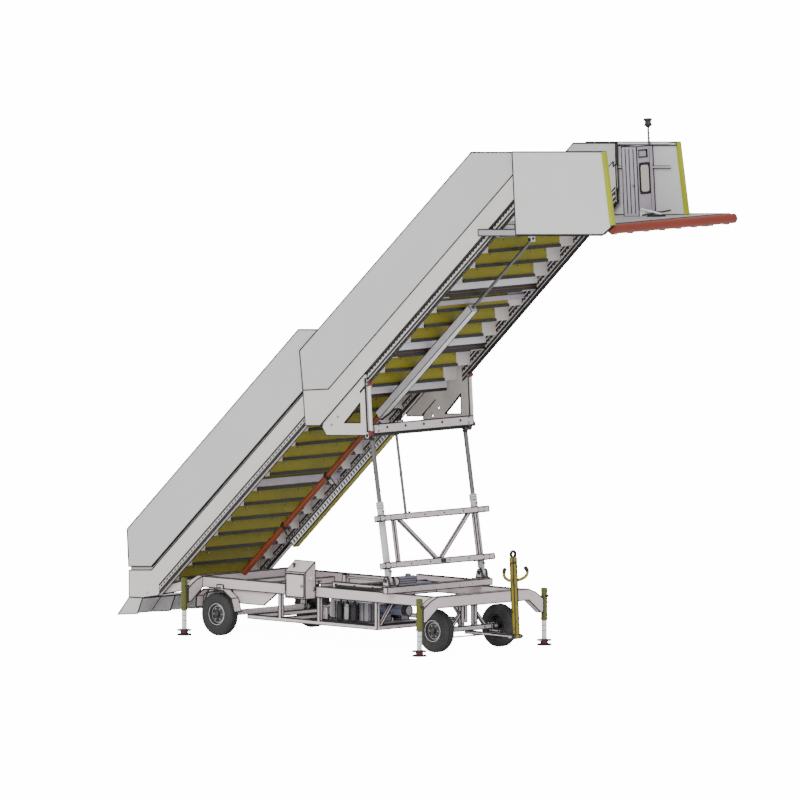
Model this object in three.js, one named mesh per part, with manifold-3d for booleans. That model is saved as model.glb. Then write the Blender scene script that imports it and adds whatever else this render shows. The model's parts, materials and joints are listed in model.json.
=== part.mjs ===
// Towable passenger boarding stair: a road chassis on four wheels and four screw jacks,
// a lower flight hinged at its tail, an upper flight that telescopes out of it, and a
// pair of leaning lift cylinders on a carriage that runs along the chassis rails.
// Millimetres, +Z up, +X towards the platform, +Y to the machine's left.
import * as THREE from 'three';
import { mergeVertices } from 'three/addons/utils/BufferGeometryUtils.js';
import Module from 'manifold-3d';

const wasm = await Module();
wasm.setup();

// ---------------------------------------------------------------- driving dimensions
const GAP = 0.3;
const SLIVER = 0.08;
const DEG = Math.PI / 180;
const SIDES = [['right', -1], ['left', 1]];

const JACK_X = [0, -4493];
const JACK_Y = 1193;
const JACK_STROKE = 250;
const FOOT_HEIGHT = 85;
const HOUSING = { radius: 46, bore: 36.5, bottom: 345, top: 780 };

const RAIL = { inner: 800, outer: 870, bottom: 640, top: 780 };
const BEAM_WIDTH = 95;
const BEAM_BACK = 65;

const TYRE_RADIUS = 292.5;
const TYRE_WIDTH = 170;
const RIM_RADIUS = 150;
const REAR_WHEEL = { x: -4120, outer: 970 };
const FRONT_WHEEL = { x: -270, outer: 690 };
const KINGPIN_Y = 455;
const STEER_ARM = 130;
const YOKE = { x: 655, z: 236 };
const EYE_TOP = 1400;

const BELLY = { rear: -3613, front: -1140, side: 835, bottom: 265, tube: 50 };
const CONSOLE = { rear: -2676, front: -2296, outer: -1080, inner: -885, bottom: 620 };
const STOP = { back: 90, y: -1000 };

const LIFT_Y = 890;
const LIFT_FOOT = { x: -885, z: 953 };
const LIFT_HEAD = { x: -1216, z: 2905 };
const BARREL_LENGTH = 1070;
const CARRIAGE_FLOOR = 783;

const PIVOT = { x: -5460, z: 500 };
const TILT = 3.7;
const RISE = 202;
const RUN = 260;
const PITCH = RISE / RUN;
const SLOPE = Math.atan(PITCH);
const STEP_PLATE = 5;

const LOWER = { foot: 112, sill: 355, noseDrop: 203, top: 3900, treads: 15 };
const LOWER_SKIN = { inner: 870, outer: 940 };
const DECK = { nose: 6833, top: 4986, bottom: 4886, front: 9202 };
const UPPER_SKIN = { inner: 950, outer: 987 };
const UPPER_TREADS = 11;
const RAM = { y: -135, drop: 290, rear: 1063, front: 3800 };
const SLEEVE = { rear: 3815, front: 5683, outer: 56, inner: 50 };
const TRAY = { rear: 1871, front: 3880, top: 250, bottom: 355, half: 52 };
const GUARD = { inner: 1022, outer: 1047 };
const FAR_GUARD_BACK = 650;
const BUMPER = { x: 9270, z: 4919, radius: 67.5 };

// ---------------------------------------------------------------- solid helpers
function toSolid(geometry) {
  const bare = geometry.index ? geometry.toNonIndexed() : geometry.clone();
  bare.deleteAttribute('normal');
  bare.deleteAttribute('uv');
  const merged = mergeVertices(bare, 1e-3);
  return new wasm.Manifold(new wasm.Mesh({
    numProp: 3,
    vertProperties: new Float32Array(merged.attributes.position.array),
    triVerts: new Uint32Array(merged.index.array),
  }));
}

function toGeometry(solid) {
  const mesh = solid.simplify(SLIVER).getMesh();
  const geometry = new THREE.BufferGeometry();
  geometry.setAttribute('position', new THREE.BufferAttribute(mesh.vertProperties, 3));
  geometry.setIndex(new THREE.BufferAttribute(mesh.triVerts, 1));
  geometry.computeVertexNormals();
  return geometry;
}

function join(...pieces) {
  return toGeometry(pieces.map(toSolid).reduce((whole, piece) => whole.add(piece)));
}

function cut(body, ...tools) {
  return toGeometry(tools.map(toSolid).reduce((whole, tool) => whole.subtract(tool), toSolid(body)));
}

// A block between two corners.
function block(x0, x1, y0, y1, z0, z1) {
  const geometry = new THREE.BoxGeometry(x1 - x0, Math.abs(y1 - y0), z1 - z0);
  return geometry.translate((x0 + x1) / 2, (y0 + y1) / 2, (z0 + z1) / 2);
}

function outline(points) {
  return new THREE.Shape(points.map(([a, b]) => new THREE.Vector2(a, b)));
}

// An outline in X and Z, given its thickness from y0 to y1.
function plateXZ(points, y0, y1) {
  const depth = Math.abs(y1 - y0);
  const geometry = new THREE.ExtrudeGeometry(outline(points), { depth, bevelEnabled: false });
  return geometry.rotateX(Math.PI / 2).translate(0, Math.max(y0, y1), 0);
}

// An outline in Y and Z, given its thickness from x0 to x1.
function plateYZ(points, x0, x1) {
  const geometry = new THREE.ExtrudeGeometry(outline(points), { depth: x1 - x0, bevelEnabled: false });
  const toYZ = new THREE.Matrix4().makeBasis(
    new THREE.Vector3(0, 1, 0),
    new THREE.Vector3(0, 0, 1),
    new THREE.Vector3(1, 0, 0),
  );
  return geometry.applyMatrix4(toYZ).translate(x0, 0, 0);
}

// An outline in X and Y, given its thickness from z0 to z1.
function plateXY(points, z0, z1) {
  const geometry = new THREE.ExtrudeGeometry(outline(points), { depth: z1 - z0, bevelEnabled: false });
  return geometry.translate(0, 0, z0);
}

// A round bar from one point to another.
function bar(from, to, radius, segments = 16) {
  const start = new THREE.Vector3(...from);
  const run = new THREE.Vector3(...to).sub(start);
  const geometry = new THREE.CylinderGeometry(radius, radius, run.length(), segments);
  geometry.translate(0, run.length() / 2, 0);
  const turn = new THREE.Quaternion().setFromUnitVectors(new THREE.Vector3(0, 1, 0), run.clone().normalize());
  return geometry.applyQuaternion(turn).translate(...from);
}

// A rectangular bar from one point to another; wide is its size along the level direction.
function tube(from, to, wide, deep) {
  const start = new THREE.Vector3(...from);
  const run = new THREE.Vector3(...to).sub(start);
  const along = run.clone().normalize();
  const level = new THREE.Vector3(0, 0, 1).cross(along);
  if (level.lengthSq() < 1e-6) level.set(0, 1, 0);
  level.normalize();
  const third = along.clone().cross(level);
  const geometry = new THREE.BoxGeometry(run.length(), wide, deep).translate(run.length() / 2, 0, 0);
  return geometry.applyMatrix4(new THREE.Matrix4().makeBasis(along, level, third)).translate(...from);
}

// A turned shape whose axis runs along +Y, from its profile of radius and height.
function turnedY(profile, y, segments = 32) {
  const points = profile.map(([radius, height]) => new THREE.Vector2(radius, height));
  return new THREE.LatheGeometry(points, segments).translate(0, y, 0);
}

// A turned shape whose axis runs along +Z.
function turnedZ(profile, segments = 20) {
  const points = profile.map(([radius, height]) => new THREE.Vector2(radius, height));
  return new THREE.LatheGeometry(points, segments).rotateX(Math.PI / 2);
}

function piece(name, colour, geometry, { metal = 0.1, rough = 0.55 } = {}) {
  const material = new THREE.MeshStandardMaterial({ color: colour, metalness: metal, roughness: rough });
  const mesh = new THREE.Mesh(geometry, material);
  mesh.name = name;
  return mesh;
}

const PAINT = {
  white: 0xdad7de,
  beige: 0xd2cec9,
  panel: 0xc6c6c6,
  olive: 0x807a10,
  orange: 0xa8481a,
  yellow: 0xa59400,
  housing: 0x8a9040,
  steel: 0x76767a,
  barrel: 0xcccccc,
  blueGrey: 0x9098b0,
  rubber: 0x2c2c2c,
  red: 0x8a1020,
  edge: 0x9aa010,
};

// ---------------------------------------------------------------- chassis
function chassisFrame() {
  const parts = [];
  for (const [, side] of SIDES) {
    parts.push(block(JACK_X[1] - 20, JACK_X[0] - 20, side * RAIL.inner, side * RAIL.outer, RAIL.bottom, RAIL.top));
    const gusset = [[-3860, 520], [-3760, 457], [-3327, 457], [-3056, 644], [-3940, 644]];
    parts.push(plateXZ(gusset, side * 829, side * 841));
  }
  for (const jackX of JACK_X) {
    const back = jackX - BEAM_BACK;
    const arm = [[868, 785], [1000, 735], [1146.5, 636], [1146.5, 454], [1100, 454], [868, 636]];
    parts.push(block(back, back + BEAM_WIDTH, -869, 869, 636, 785));
    for (const [, side] of SIDES) {
      const points = arm.map(([y, z]) => [side * y, z]);
      parts.push(plateYZ(side > 0 ? points.reverse() : points, back, back + BEAM_WIDTH));
    }
  }
  for (const x of [REAR_WHEEL.x, -3650, -2600, -1700, FRONT_WHEEL.x]) {
    parts.push(block(x - 40, x + 40, -802, 802, 640, 720));
  }
  parts.push(plateXZ([[-2640, 700], [-2560, 700], [-2570, 870], [-2630, 870]], -30, 30));
  for (const [, side] of SIDES) {
    const arm = [[-5510, 480], [-5490, 455], [-5450, 448], [-4480, 640], [-4480, 780], [-5440, 552], [-5490, 545]];
    parts.push(plateXZ(arm, side * 800, side * 850));
    parts.push(bar([PIVOT.x, side * 802, PIVOT.z], [PIVOT.x, side * 948, PIVOT.z], 20));
  }
  return piece('chassis_frame', PAINT.white, join(...parts));
}

function bellyFrame() {
  const half = BELLY.tube / 2;
  const low = BELLY.bottom;
  const high = RAIL.bottom - GAP;
  const parts = [];
  const stations = [BELLY.rear + half, -3000, -2260, BELLY.front - half];
  for (const [, side] of SIDES) {
    parts.push(block(BELLY.rear, BELLY.front, side * (BELLY.side - half), side * (BELLY.side + half), low, low + 50));
    for (const x of stations.slice(1)) {
      parts.push(block(x - half, x + half, side * (BELLY.side - half), side * (BELLY.side + half), low + 5, high));
    }
    const foot = [BELLY.front - half, side * (BELLY.side - 20), low + half];
    parts.push(tube(foot, [BELLY.front - half, side * (BELLY.side - 290), high - 21], 40, 40));
    parts.push(block(BELLY.front - 50, BELLY.front, side * (BELLY.side - 340), side * BELLY.side, high - 40, high));
  }
  for (const x of stations) {
    parts.push(block(x - half, x + half, -BELLY.side, BELLY.side, low, low + 50));
  }
  return piece('belly_frame', PAINT.white, join(...parts));
}

function rearAxle() {
  const parts = [bar([REAR_WHEEL.x, -796, TYRE_RADIUS], [REAR_WHEEL.x, 796, TYRE_RADIUS], 40)];
  for (const [, side] of SIDES) {
    const hanger = [[-60, 347.2], [60, 347.2], [45, -20], [20, -45], [-20, -45], [-45, -20]];
    const points = hanger.map(([x, z]) => [REAR_WHEEL.x + x, TYRE_RADIUS + z]);
    parts.push(plateXZ(points.reverse(), side * 700, side * 730));
    const stub = [[REAR_WHEEL.x, side * 790, TYRE_RADIUS], [REAR_WHEEL.x, side * 945, TYRE_RADIUS]];
    parts.push(bar(...stub, 22));
  }
  return piece('rear_axle', PAINT.steel, join(...parts));
}

function frontAxle() {
  const x = FRONT_WHEEL.x;
  const parts = [block(x - 30, x + 30, -430, 430, 262.5, 322.5)];
  for (const [, side] of SIDES) {
    parts.push(block(x - 28, x + 28, side * 96, side * 152, 310, RAIL.bottom - GAP));
    parts.push(tube([x, side * 130, 520], [x, side * 340, 300], 36, 36));
    parts.push(block(x - 30, x + 30, side * 425, side * 480, 330, 352));
    parts.push(block(x - 30, x + 30, side * 400, side * 430, 300, 352));
    parts.push(bar([x, side * KINGPIN_Y, 258], [x, side * KINGPIN_Y, 340], 12));
  }
  parts.push(bar([x, 0, 212], [x, 0, 270], 18));
  return piece('front_axle', PAINT.steel, join(...parts));
}

function knuckle(name, side) {
  const x = FRONT_WHEEL.x;
  const y = side * KINGPIN_Y;
  const boss = bar([x, y, 222], [x, y, 326], 24, 24);
  const root = block(x - 20, x + 20, y, y + side * 31, 262, 326);
  const stub = bar([x, y + side * 20, TYRE_RADIUS], [x, side * 668, TYRE_RADIUS], 22);
  const arm = block(x, x + STEER_ARM + 22, y - 20, y + 20, 222, 252);
  const bore = bar([x, y, 200], [x, y, 400], 13);
  const eye = bar([x + STEER_ARM, y, 200], [x + STEER_ARM, y, 270], 9);
  return piece(name, PAINT.steel, cut(join(boss, root, stub, arm), bore, eye));
}

function tieRod() {
  const x = FRONT_WHEEL.x + STEER_ARM;
  const parts = [bar([x, -KINGPIN_Y, 203], [x, KINGPIN_Y, 203], 11)];
  for (const y of [-KINGPIN_Y, 0, KINGPIN_Y]) {
    parts.push(bar([x, y, 190], [x, y, 218], 20));
    parts.push(bar([x, y, 210], [x, y, 250], 8));
  }
  return piece('tie_rod', PAINT.steel, join(...parts));
}

function drawbar() {
  const rear = FRONT_WHEEL.x;
  const boss = bar([rear, 0, 222], [rear, 0, 258], 40);
  const beam = block(rear, YOKE.x - 50, -32, 32, 222, 256);
  const brace = plateXY([[200, -30], [560, -60], [600, -60], [600, 60], [560, 60], [200, 30]], 224, 252);
  const parts = [boss, beam, brace];
  for (const [, side] of SIDES) {
    parts.push(block(YOKE.x - 70, YOKE.x + 30, side * 38, side * 62, 210, 265));
  }
  const shaft = bar([YOKE.x, -130, YOKE.z], [YOKE.x, 130, YOKE.z], 16);
  const pivot = bar([rear, 0, 150], [rear, 0, 300], 19);
  const eye = bar([rear + STEER_ARM, 0, 150], [rear + STEER_ARM, 0, 300], 9);
  return piece('drawbar', PAINT.steel, cut(join(...parts, shaft), pivot, eye));
}

// The towbar stands up from the yoke and leans back a little.
function towbar() {
  const lean = 3 * DEG;
  const length = EYE_TOP - YOKE.z;
  const spine = block(-30, 30, -35, 35, 0, length - 90);
  const boss = bar([0, -34, 0], [0, 34, 0], 34);
  const ring = new THREE.TorusGeometry(42, 17, 8, 18).rotateY(Math.PI / 2).translate(0, 0, length - 55);
  const parts = [spine, boss, ring];
  for (const [, side] of SIDES) {
    const curve = new THREE.CatmullRomCurve3([
      new THREE.Vector3(0, side * 20, 760),
      new THREE.Vector3(18, side * 120, 770),
      new THREE.Vector3(34, side * 205, 815),
      new THREE.Vector3(36, side * 225, 880),
      new THREE.Vector3(24, side * 190, 925),
    ]);
    const section = new THREE.Shape().absarc(0, 0, 18, 0, 2 * Math.PI);
    const grip = new THREE.ExtrudeGeometry(section, { steps: 10, extrudePath: curve, curveSegments: 4 });
    parts.push(grip);
    parts.push(block(-14, 14, side * 26, side * 64, 330, 344));
  }
  const bore = bar([0, -60, 0], [0, 60, 0], 17);
  const body = cut(join(...parts), bore);
  return piece('towbar', PAINT.yellow, body.rotateY(-lean).translate(YOKE.x, 0, YOKE.z));
}

function wheel(name, x, side, outer) {
  const middle = side * (outer - TYRE_WIDTH / 2);
  const half = TYRE_WIDTH / 2;
  const tread = TYRE_RADIUS;
  const tyreProfile = [
    [RIM_RADIUS + GAP, -62], [220, -half], [tread - 26, -half + 6], [tread, -half + 34],
    [tread, half - 34], [tread - 26, half - 6], [220, half], [RIM_RADIUS + GAP, 62], [RIM_RADIUS + GAP, -62],
  ];
  const rimProfile = side < 0
    ? [[23, -72], [52, -72], [52, -40], [118, -28], [134, -60], [RIM_RADIUS, -64]]
      .concat([[RIM_RADIUS, 64], [136, 60], [120, -14], [46, -20], [46, 50], [23, 50], [23, -72]])
    : [[23, -50], [46, -50], [46, 20], [120, 14], [136, -60], [RIM_RADIUS, -64]]
      .concat([[RIM_RADIUS, 64], [134, 60], [118, 28], [52, 40], [52, 72], [23, 72], [23, -50]]);
  const place = (geometry) => geometry.translate(x, 0, TYRE_RADIUS);
  return [
    piece(`${name}_tyre`, PAINT.rubber, place(turnedY(tyreProfile, middle, 24)), { metal: 0, rough: 0.85 }),
    piece(`${name}_rim`, PAINT.white, place(turnedY(rimProfile, middle, 24)), { metal: 0.3, rough: 0.5 }),
  ];
}

// A five-sided hood of sheet over a rear wheel.
function mudguard(name, side) {
  const outer = [[-334, 90], [-322, 240], [-190, 338], [190, 338], [340, 240], [400, 60]];
  const inner = outer.map(([x, z]) => [x * 0.985, z - 6]).reverse();
  const points = [...outer, ...inner].map(([x, z]) => [REAR_WHEEL.x + x, TYRE_RADIUS + z]);
  const sheet = plateXZ(points.reverse(), side * 876, side * 1010);
  const tab = block(REAR_WHEEL.x - 60, REAR_WHEEL.x + 60, side * 870.3, side * 880, 615, 690);
  const rib = block(REAR_WHEEL.x - 6, REAR_WHEEL.x + 6, side * 872, side * 990, 620, 650);
  return piece(name, PAINT.white, join(sheet, tab, rib));
}

function jack(name, x, side) {
  const wall = [[0, HOUSING.top], [0, HOUSING.top - 10], [HOUSING.bore, HOUSING.top - 10], [HOUSING.bore, HOUSING.bottom]];
  const skin = [[HOUSING.radius, HOUSING.bottom], [HOUSING.radius, HOUSING.top]];
  const tubeBody = turnedZ([...wall, ...skin, [0, HOUSING.top]]);
  const handle = bar([40, 0, 640], [78, 0, 640], 16, 12);
  const housing = join(tubeBody, handle).translate(x, side * JACK_Y, 0);
  const top = HOUSING.top - 10 - JACK_STROKE - 5;
  const leg = turnedZ([
    [0, 0], [100, 0], [100, 20], [90, 26], [48, 30], [48, 58], [100, 63], [100, 80], [60, FOOT_HEIGHT],
    [35, FOOT_HEIGHT + 6], [35, top], [0, top],
  ]);
  return [
    piece(`${name}_housing`, PAINT.housing, housing),
    piece(`${name}_leg`, PAINT.barrel, join(leg).translate(x, side * JACK_Y, 0), { metal: 0.4, rough: 0.35 }),
  ];
}

function batteryBox() {
  return piece('battery_box', PAINT.white, block(-2390, -2200, -740, -480, 330 + GAP, 500));
}

function powerPack() {
  const base = BELLY.bottom + BELLY.tube + GAP;
  const tank = block(-2150, -1480, -640, -250, base, 600);
  const motor = bar([-1490, -470, 516], [-920, -470, 516], 68, 24);
  const pump = block(-1560, -1430, -120, 40, base, 480);
  const shelf = block(-2410, -1190, -790, 120, base, 330);
  return piece('power_pack', PAINT.blueGrey, join(tank, motor, pump, shelf));
}

// The console is a box with a lid that slopes up towards the machine.
function consoleBox() {
  const { outer, inner, bottom, rear, front } = CONSOLE;
  const section = [[outer, bottom], [outer, 980], [inner, 1120], [inner, bottom]];
  const shell = plateYZ([...section].reverse(), rear, front);
  const room = plateYZ([[outer - 10, bottom + 20], [outer - 10, 950], [inner - 20, 1080], [inner - 20, bottom + 20]]
    .reverse(), rear + 20, front - 20);
  const foot = block(rear + 40, front - 40, inner - 5, -RAIL.outer - GAP, 650, 770);
  const lamp = bar([front - 5, -985, 900], [front + 35, -985, 900], 26);
  const hole = bar([rear + STOP.back, STOP.y, 900], [rear + STOP.back, STOP.y, 1200], 15);
  return piece('console_box', PAINT.white, join(cut(shell, room, hole), foot, lamp));
}

function consoleDoor() {
  const { outer, bottom, rear, front } = CONSOLE;
  const leaf = block(rear + 22, front - 22, outer - 3, outer + 3, bottom + 22, 948);
  const knob = bar([front - 60, outer - 16, 800], [front - 60, outer, 800], 14);
  return piece('console_door', PAINT.white, join(leaf, knob));
}

function stopButton() {
  const x = CONSOLE.rear + STOP.back;
  const stem = bar([x, STOP.y, 1012], [x, STOP.y, 1070], 13);
  const head = bar([x, STOP.y, 1066], [x, STOP.y, 1090], 24);
  return piece('stop_button', PAINT.red, join(stem, head));
}

// ---------------------------------------------------------------- carriage and lift
function carriageFrame() {
  const floor = CARRIAGE_FLOOR;
  const parts = [block(-882, -798, -1000, 1000, floor, floor + 85)];
  for (const [, side] of SIDES) {
    parts.push(block(-2020, -880, side * 770, side * 830, floor, 860));
    parts.push(block(-950, -800, side * 830, side * 950, floor + 84, 886));
    for (const face of [832, 928]) {
      const cheek = [[-946, 880], [-824, 880], [-840, 960], [-862, 1000], [-908, 1000], [-930, 960]];
      parts.push(plateXZ(cheek, side * face, side * (face + 20)));
    }
    parts.push(bar([LIFT_FOOT.x, side * 830, LIFT_FOOT.z], [LIFT_FOOT.x, side * 955, LIFT_FOOT.z], 18));
  }
  for (const x of [-1360, -1805]) {
    parts.push(block(x - 55, x, -775, 775, floor, floor + 12));
  }
  parts.push(block(-872, -808, -780, -480, floor + 80, 900));
  parts.push(bar([-840, -800, 940], [-840, -470, 940], 62, 20));
  return piece('carriage_frame', PAINT.white, join(...parts));
}

function carriageRam() {
  const z = 836;
  const barrel = cut(
    bar([-1780, 0, z], [-883, 0, z], 38, 24),
    bar([-1800, 0, z], [-910, 0, z], 26, 24),
  );
  const rodBody = join(bar([-2558, 0, z], [-1700, 0, z], 20), bar([-1720, 0, z], [-1700, 0, z], 23));
  return [
    piece('carriage_ram_barrel', PAINT.blueGrey, barrel),
    piece('carriage_ram_rod', PAINT.steel, rodBody, { metal: 0.8, rough: 0.25 }),
  ];
}

// The lift cylinders are drawn upright from their foot pin and then leaned to the head pin.
function leaned(geometry) {
  const lean = Math.atan2(LIFT_HEAD.x - LIFT_FOOT.x, LIFT_HEAD.z - LIFT_FOOT.z);
  return geometry.rotateY(lean).translate(LIFT_FOOT.x, 0, LIFT_FOOT.z);
}

function liftBarrel(name, side) {
  const y = side * LIFT_Y;
  const body = bar([0, y, 62], [0, y, BARREL_LENGTH], 50, 24);
  const eye = bar([0, side * 862, 0], [0, side * 918, 0], 46, 24);
  const neck = block(-30, 30, side * 864, side * 916, 0, 66);
  const pin = bar([0, side * 800, 0], [0, side * 980, 0], 19);
  const bore = bar([0, y, 90], [0, y, BARREL_LENGTH + 10], 39, 24);
  return piece(name, PAINT.barrel, leaned(cut(join(body, eye, neck), pin, bore)), { metal: 0.3, rough: 0.4 });
}

// The sync frame ties the two barrels: two bars, two posts and a vee, on clamps in front.
function syncFrame() {
  const offset = 100;
  const high = 845;
  const low = 200;
  const parts = [];
  for (const height of [high, low]) {
    parts.push(block(offset - 26, offset + 26, -1040, 1040, height - 38, height + 38));
    for (const [, side] of SIDES) {
      const y = side * LIFT_Y;
      parts.push(bar([offset, side * 1040, height], [offset, side * 1048, height], 30));
      parts.push(block(46, offset, y - 66, y + 66, height - 38, height + 38));
      parts.push(block(-66, 60, y - 66, y + 66, height - 38, height + 38));
    }
  }
  for (const [, side] of SIDES) {
    parts.push(block(offset - 20, offset + 20, side * 748, side * 790, low, high));
    parts.push(tube([offset, side * 680, high - 20], [offset, side * 20, low + 20], 36, 42));
  }
  parts.push(block(-34, offset - 20, -454, -386, high - 20, high + 20));
  const holes = [bar([0, -420, high - 60], [0, -420, high + 60], 21)];
  for (const [, side] of SIDES) {
    holes.push(bar([0, side * LIFT_Y, 0], [0, side * LIFT_Y, 1100], 50.6, 24));
  }
  return piece('sync_frame', PAINT.white, leaned(cut(join(...parts), ...holes)));
}

function liftRods() {
  const length = Math.hypot(LIFT_HEAD.x - LIFT_FOOT.x, LIFT_HEAD.z - LIFT_FOOT.z);
  const parts = [bar([0, -984, length], [0, 984, length], 22)];
  for (const [, side] of SIDES) {
    const y = side * LIFT_Y;
    parts.push(bar([0, y, length - 1050], [0, y, length], 32, 24));
    parts.push(bar([0, side * 855, length], [0, side * 925, length], 37, 24));
  }
  parts.push(bar([0, -420, 800], [0, -420, length], 14));
  parts.push(bar([0, -450, length], [0, -390, length], 32));
  return piece('lift_rods', PAINT.steel, leaned(join(...parts)), { metal: 0.7, rough: 0.3 });
}

// ---------------------------------------------------------------- lower flight

// A point of the chassis frame, as the stair frame sees it.
function inStairFrame({ x, z }) {
  const [dx, dz] = [x - PIVOT.x, z - PIVOT.z];
  const [c, s] = [Math.cos(TILT * DEG), Math.sin(TILT * DEG)];
  return { x: dx * c + dz * s, z: dz * c - dx * s };
}

const lowerSill = (x) => LOWER.sill + (x - LOWER.foot) * PITCH;
const upperSill = (x) => 2758 + (x - 3705) * ((5673 - 2758) / (7443 - 3705));
const upperSkirt = (x) => 2264 + (x - 3507) * ((5341 - 2264) / (7445 - 3507));
const upperNose = (x) => DECK.top + (x - DECK.nose) * PITCH;
const ramAxis = (x) => upperNose(x) - RAM.drop;

// A folded sheet of treads and risers; corner is the first nosing.
function foldedSteps(corner, treads, firstRiser, lastTread, half) {
  const front = [[corner.x, corner.z - firstRiser]];
  const back = [];
  for (let k = 0; k < treads; k += 1) {
    const x = corner.x + k * RUN;
    const z = corner.z + k * RISE;
    const depth = k === treads - 1 ? lastTread : RUN;
    front.push([x, z], [x + depth, z]);
    const lowest = k === 0 ? z - firstRiser : z - RISE - STEP_PLATE;
    back.push([x + STEP_PLATE, lowest], [x + STEP_PLATE, z - STEP_PLATE]);
  }
  const end = front[front.length - 1];
  back.push([end[0], end[1] - STEP_PLATE]);
  return plateXZ([...front, ...back.reverse()].reverse(), -half, half);
}

function crossTube(x, z, half) {
  return block(x + 4, x + 64, -half, half, z - 65, z - 4);
}

function lowerSteps() {
  const half = LOWER_SKIN.inner - GAP;
  const corner = { x: LOWER.foot, z: LOWER.sill - LOWER.noseDrop };
  const parts = [foldedSteps(corner, LOWER.treads, 62, 140, half)];
  for (const k of [2, 5, 8, 10, 13]) {
    parts.push(crossTube(corner.x + k * RUN, corner.z + k * RISE, half - 1));
  }
  return piece('lower_steps', PAINT.olive, join(...parts));
}

function lowerStringer(name, side) {
  const top = LOWER.top;
  const band = plateXZ([
    [-345, -59], [-90, -68], [212, lowerSill(212) - 470], [top, lowerSill(top) - 470],
    [top, lowerSill(top) - 50], [LOWER.foot, LOWER.sill - 50], [-324, LOWER.sill - 50],
  ], side * LOWER_SKIN.inner, side * LOWER_SKIN.outer);
  const web = plateXZ([
    [-300, 290], [LOWER.foot, 290], [3500, lowerSill(3500) - 65],
    [3500, lowerSill(3500) + 80], [LOWER.foot, LOWER.sill + 80], [-300, LOWER.sill + 80],
  ], side * 895, side * 914.5);
  const bore = bar([0, side * 800, 0], [0, side * 960, 0], 21);
  return piece(name, PAINT.beige, cut(join(band, web), bore));
}

function lowerPanel(name, side) {
  const sheet = plateXZ([
    [-324, LOWER.sill], [LOWER.foot, LOWER.sill], [3560, lowerSill(3560)],
    [3560, 3561], [3132, 3561], [-324, 859],
  ], side * 915, side * LOWER_SKIN.outer);
  return piece(name, PAINT.panel, sheet);
}

// A short ramp closes the foot of the flight and folds up about its rear top edge.
function tailRamp() {
  const cheek = [[-345, -62], [-92, -71], [-203, -288], [-580, -297]];
  const parts = [
    plateXZ([...cheek].reverse(), -940, -934),
    plateXZ([...cheek].reverse(), 934, 940),
    plateXZ([[-345, -62], [-580, -297], [-566, -297], [-338, -68]], -938, 938),
    plateXZ([[-345, -62], [-345, -68], [-94, -77], [-92, -71]], -938, 938),
  ];
  for (const y of [-310, 310]) {
    parts.push(plateXZ([...cheek].reverse(), y - 3, y + 3));
  }
  return piece('tail_ramp', PAINT.panel, join(...parts));
}

// A piece of the extension ram, made between two stations on its axis.
function alongRam(x0, x1, shape) {
  return shape([x0, RAM.y, ramAxis(x0)], [x1, RAM.y, ramAxis(x1)]);
}

function extensionBarrel() {
  const parts = [alongRam(RAM.rear, RAM.front, (from, to) => bar(from, to, 45, 24))];
  for (const k of [5, 10]) {
    const x = LOWER.foot + k * RUN + 34;
    const under = LOWER.sill - LOWER.noseDrop + k * RISE - 65 - GAP;
    parts.push(block(x - 8, x + 8, RAM.y - 20, RAM.y + 20, ramAxis(x), under));
    parts.push(block(x - 28, x + 28, RAM.y - 60, RAM.y + 60, under - 12, under));
    parts.push(alongRam(x - 25, x + 25, (from, to) => bar(from, to, 58, 24)));
  }
  const bore = alongRam(1500, RAM.front + 20, (from, to) => bar(from, to, 32, 24));
  return piece('extension_ram_barrel', PAINT.orange, cut(join(...parts), bore));
}

// A long open tray hangs under the extension cylinder on four straps.
function hoseTray() {
  const { rear, front, top, bottom, half } = TRAY;
  const belowRam = (x0, x1, near, far, y0, y1) => plateXZ([
    [x0, ramAxis(x0) - far / Math.cos(SLOPE)], [x1, ramAxis(x1) - far / Math.cos(SLOPE)],
    [x1, ramAxis(x1) - near / Math.cos(SLOPE)], [x0, ramAxis(x0) - near / Math.cos(SLOPE)],
  ], RAM.y + y0, RAM.y + y1);
  const parts = [
    belowRam(rear, front, bottom - 6, bottom, -half, half),
    belowRam(rear, front, top, bottom, -half, 6 - half),
    belowRam(rear, front, top, bottom, half - 6, half),
  ];
  for (const x of [1900, 2680]) {
    parts.push(belowRam(x - 12, x + 12, 70, bottom, 6 - half, 12 - half));
    parts.push(belowRam(x - 12, x + 12, 70, bottom, half - 12, half - 6));
    parts.push(belowRam(x - 12, x + 12, 64, 72, 6 - half, half - 6));
  }
  return piece('hose_tray', PAINT.olive, join(...parts));
}

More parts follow.
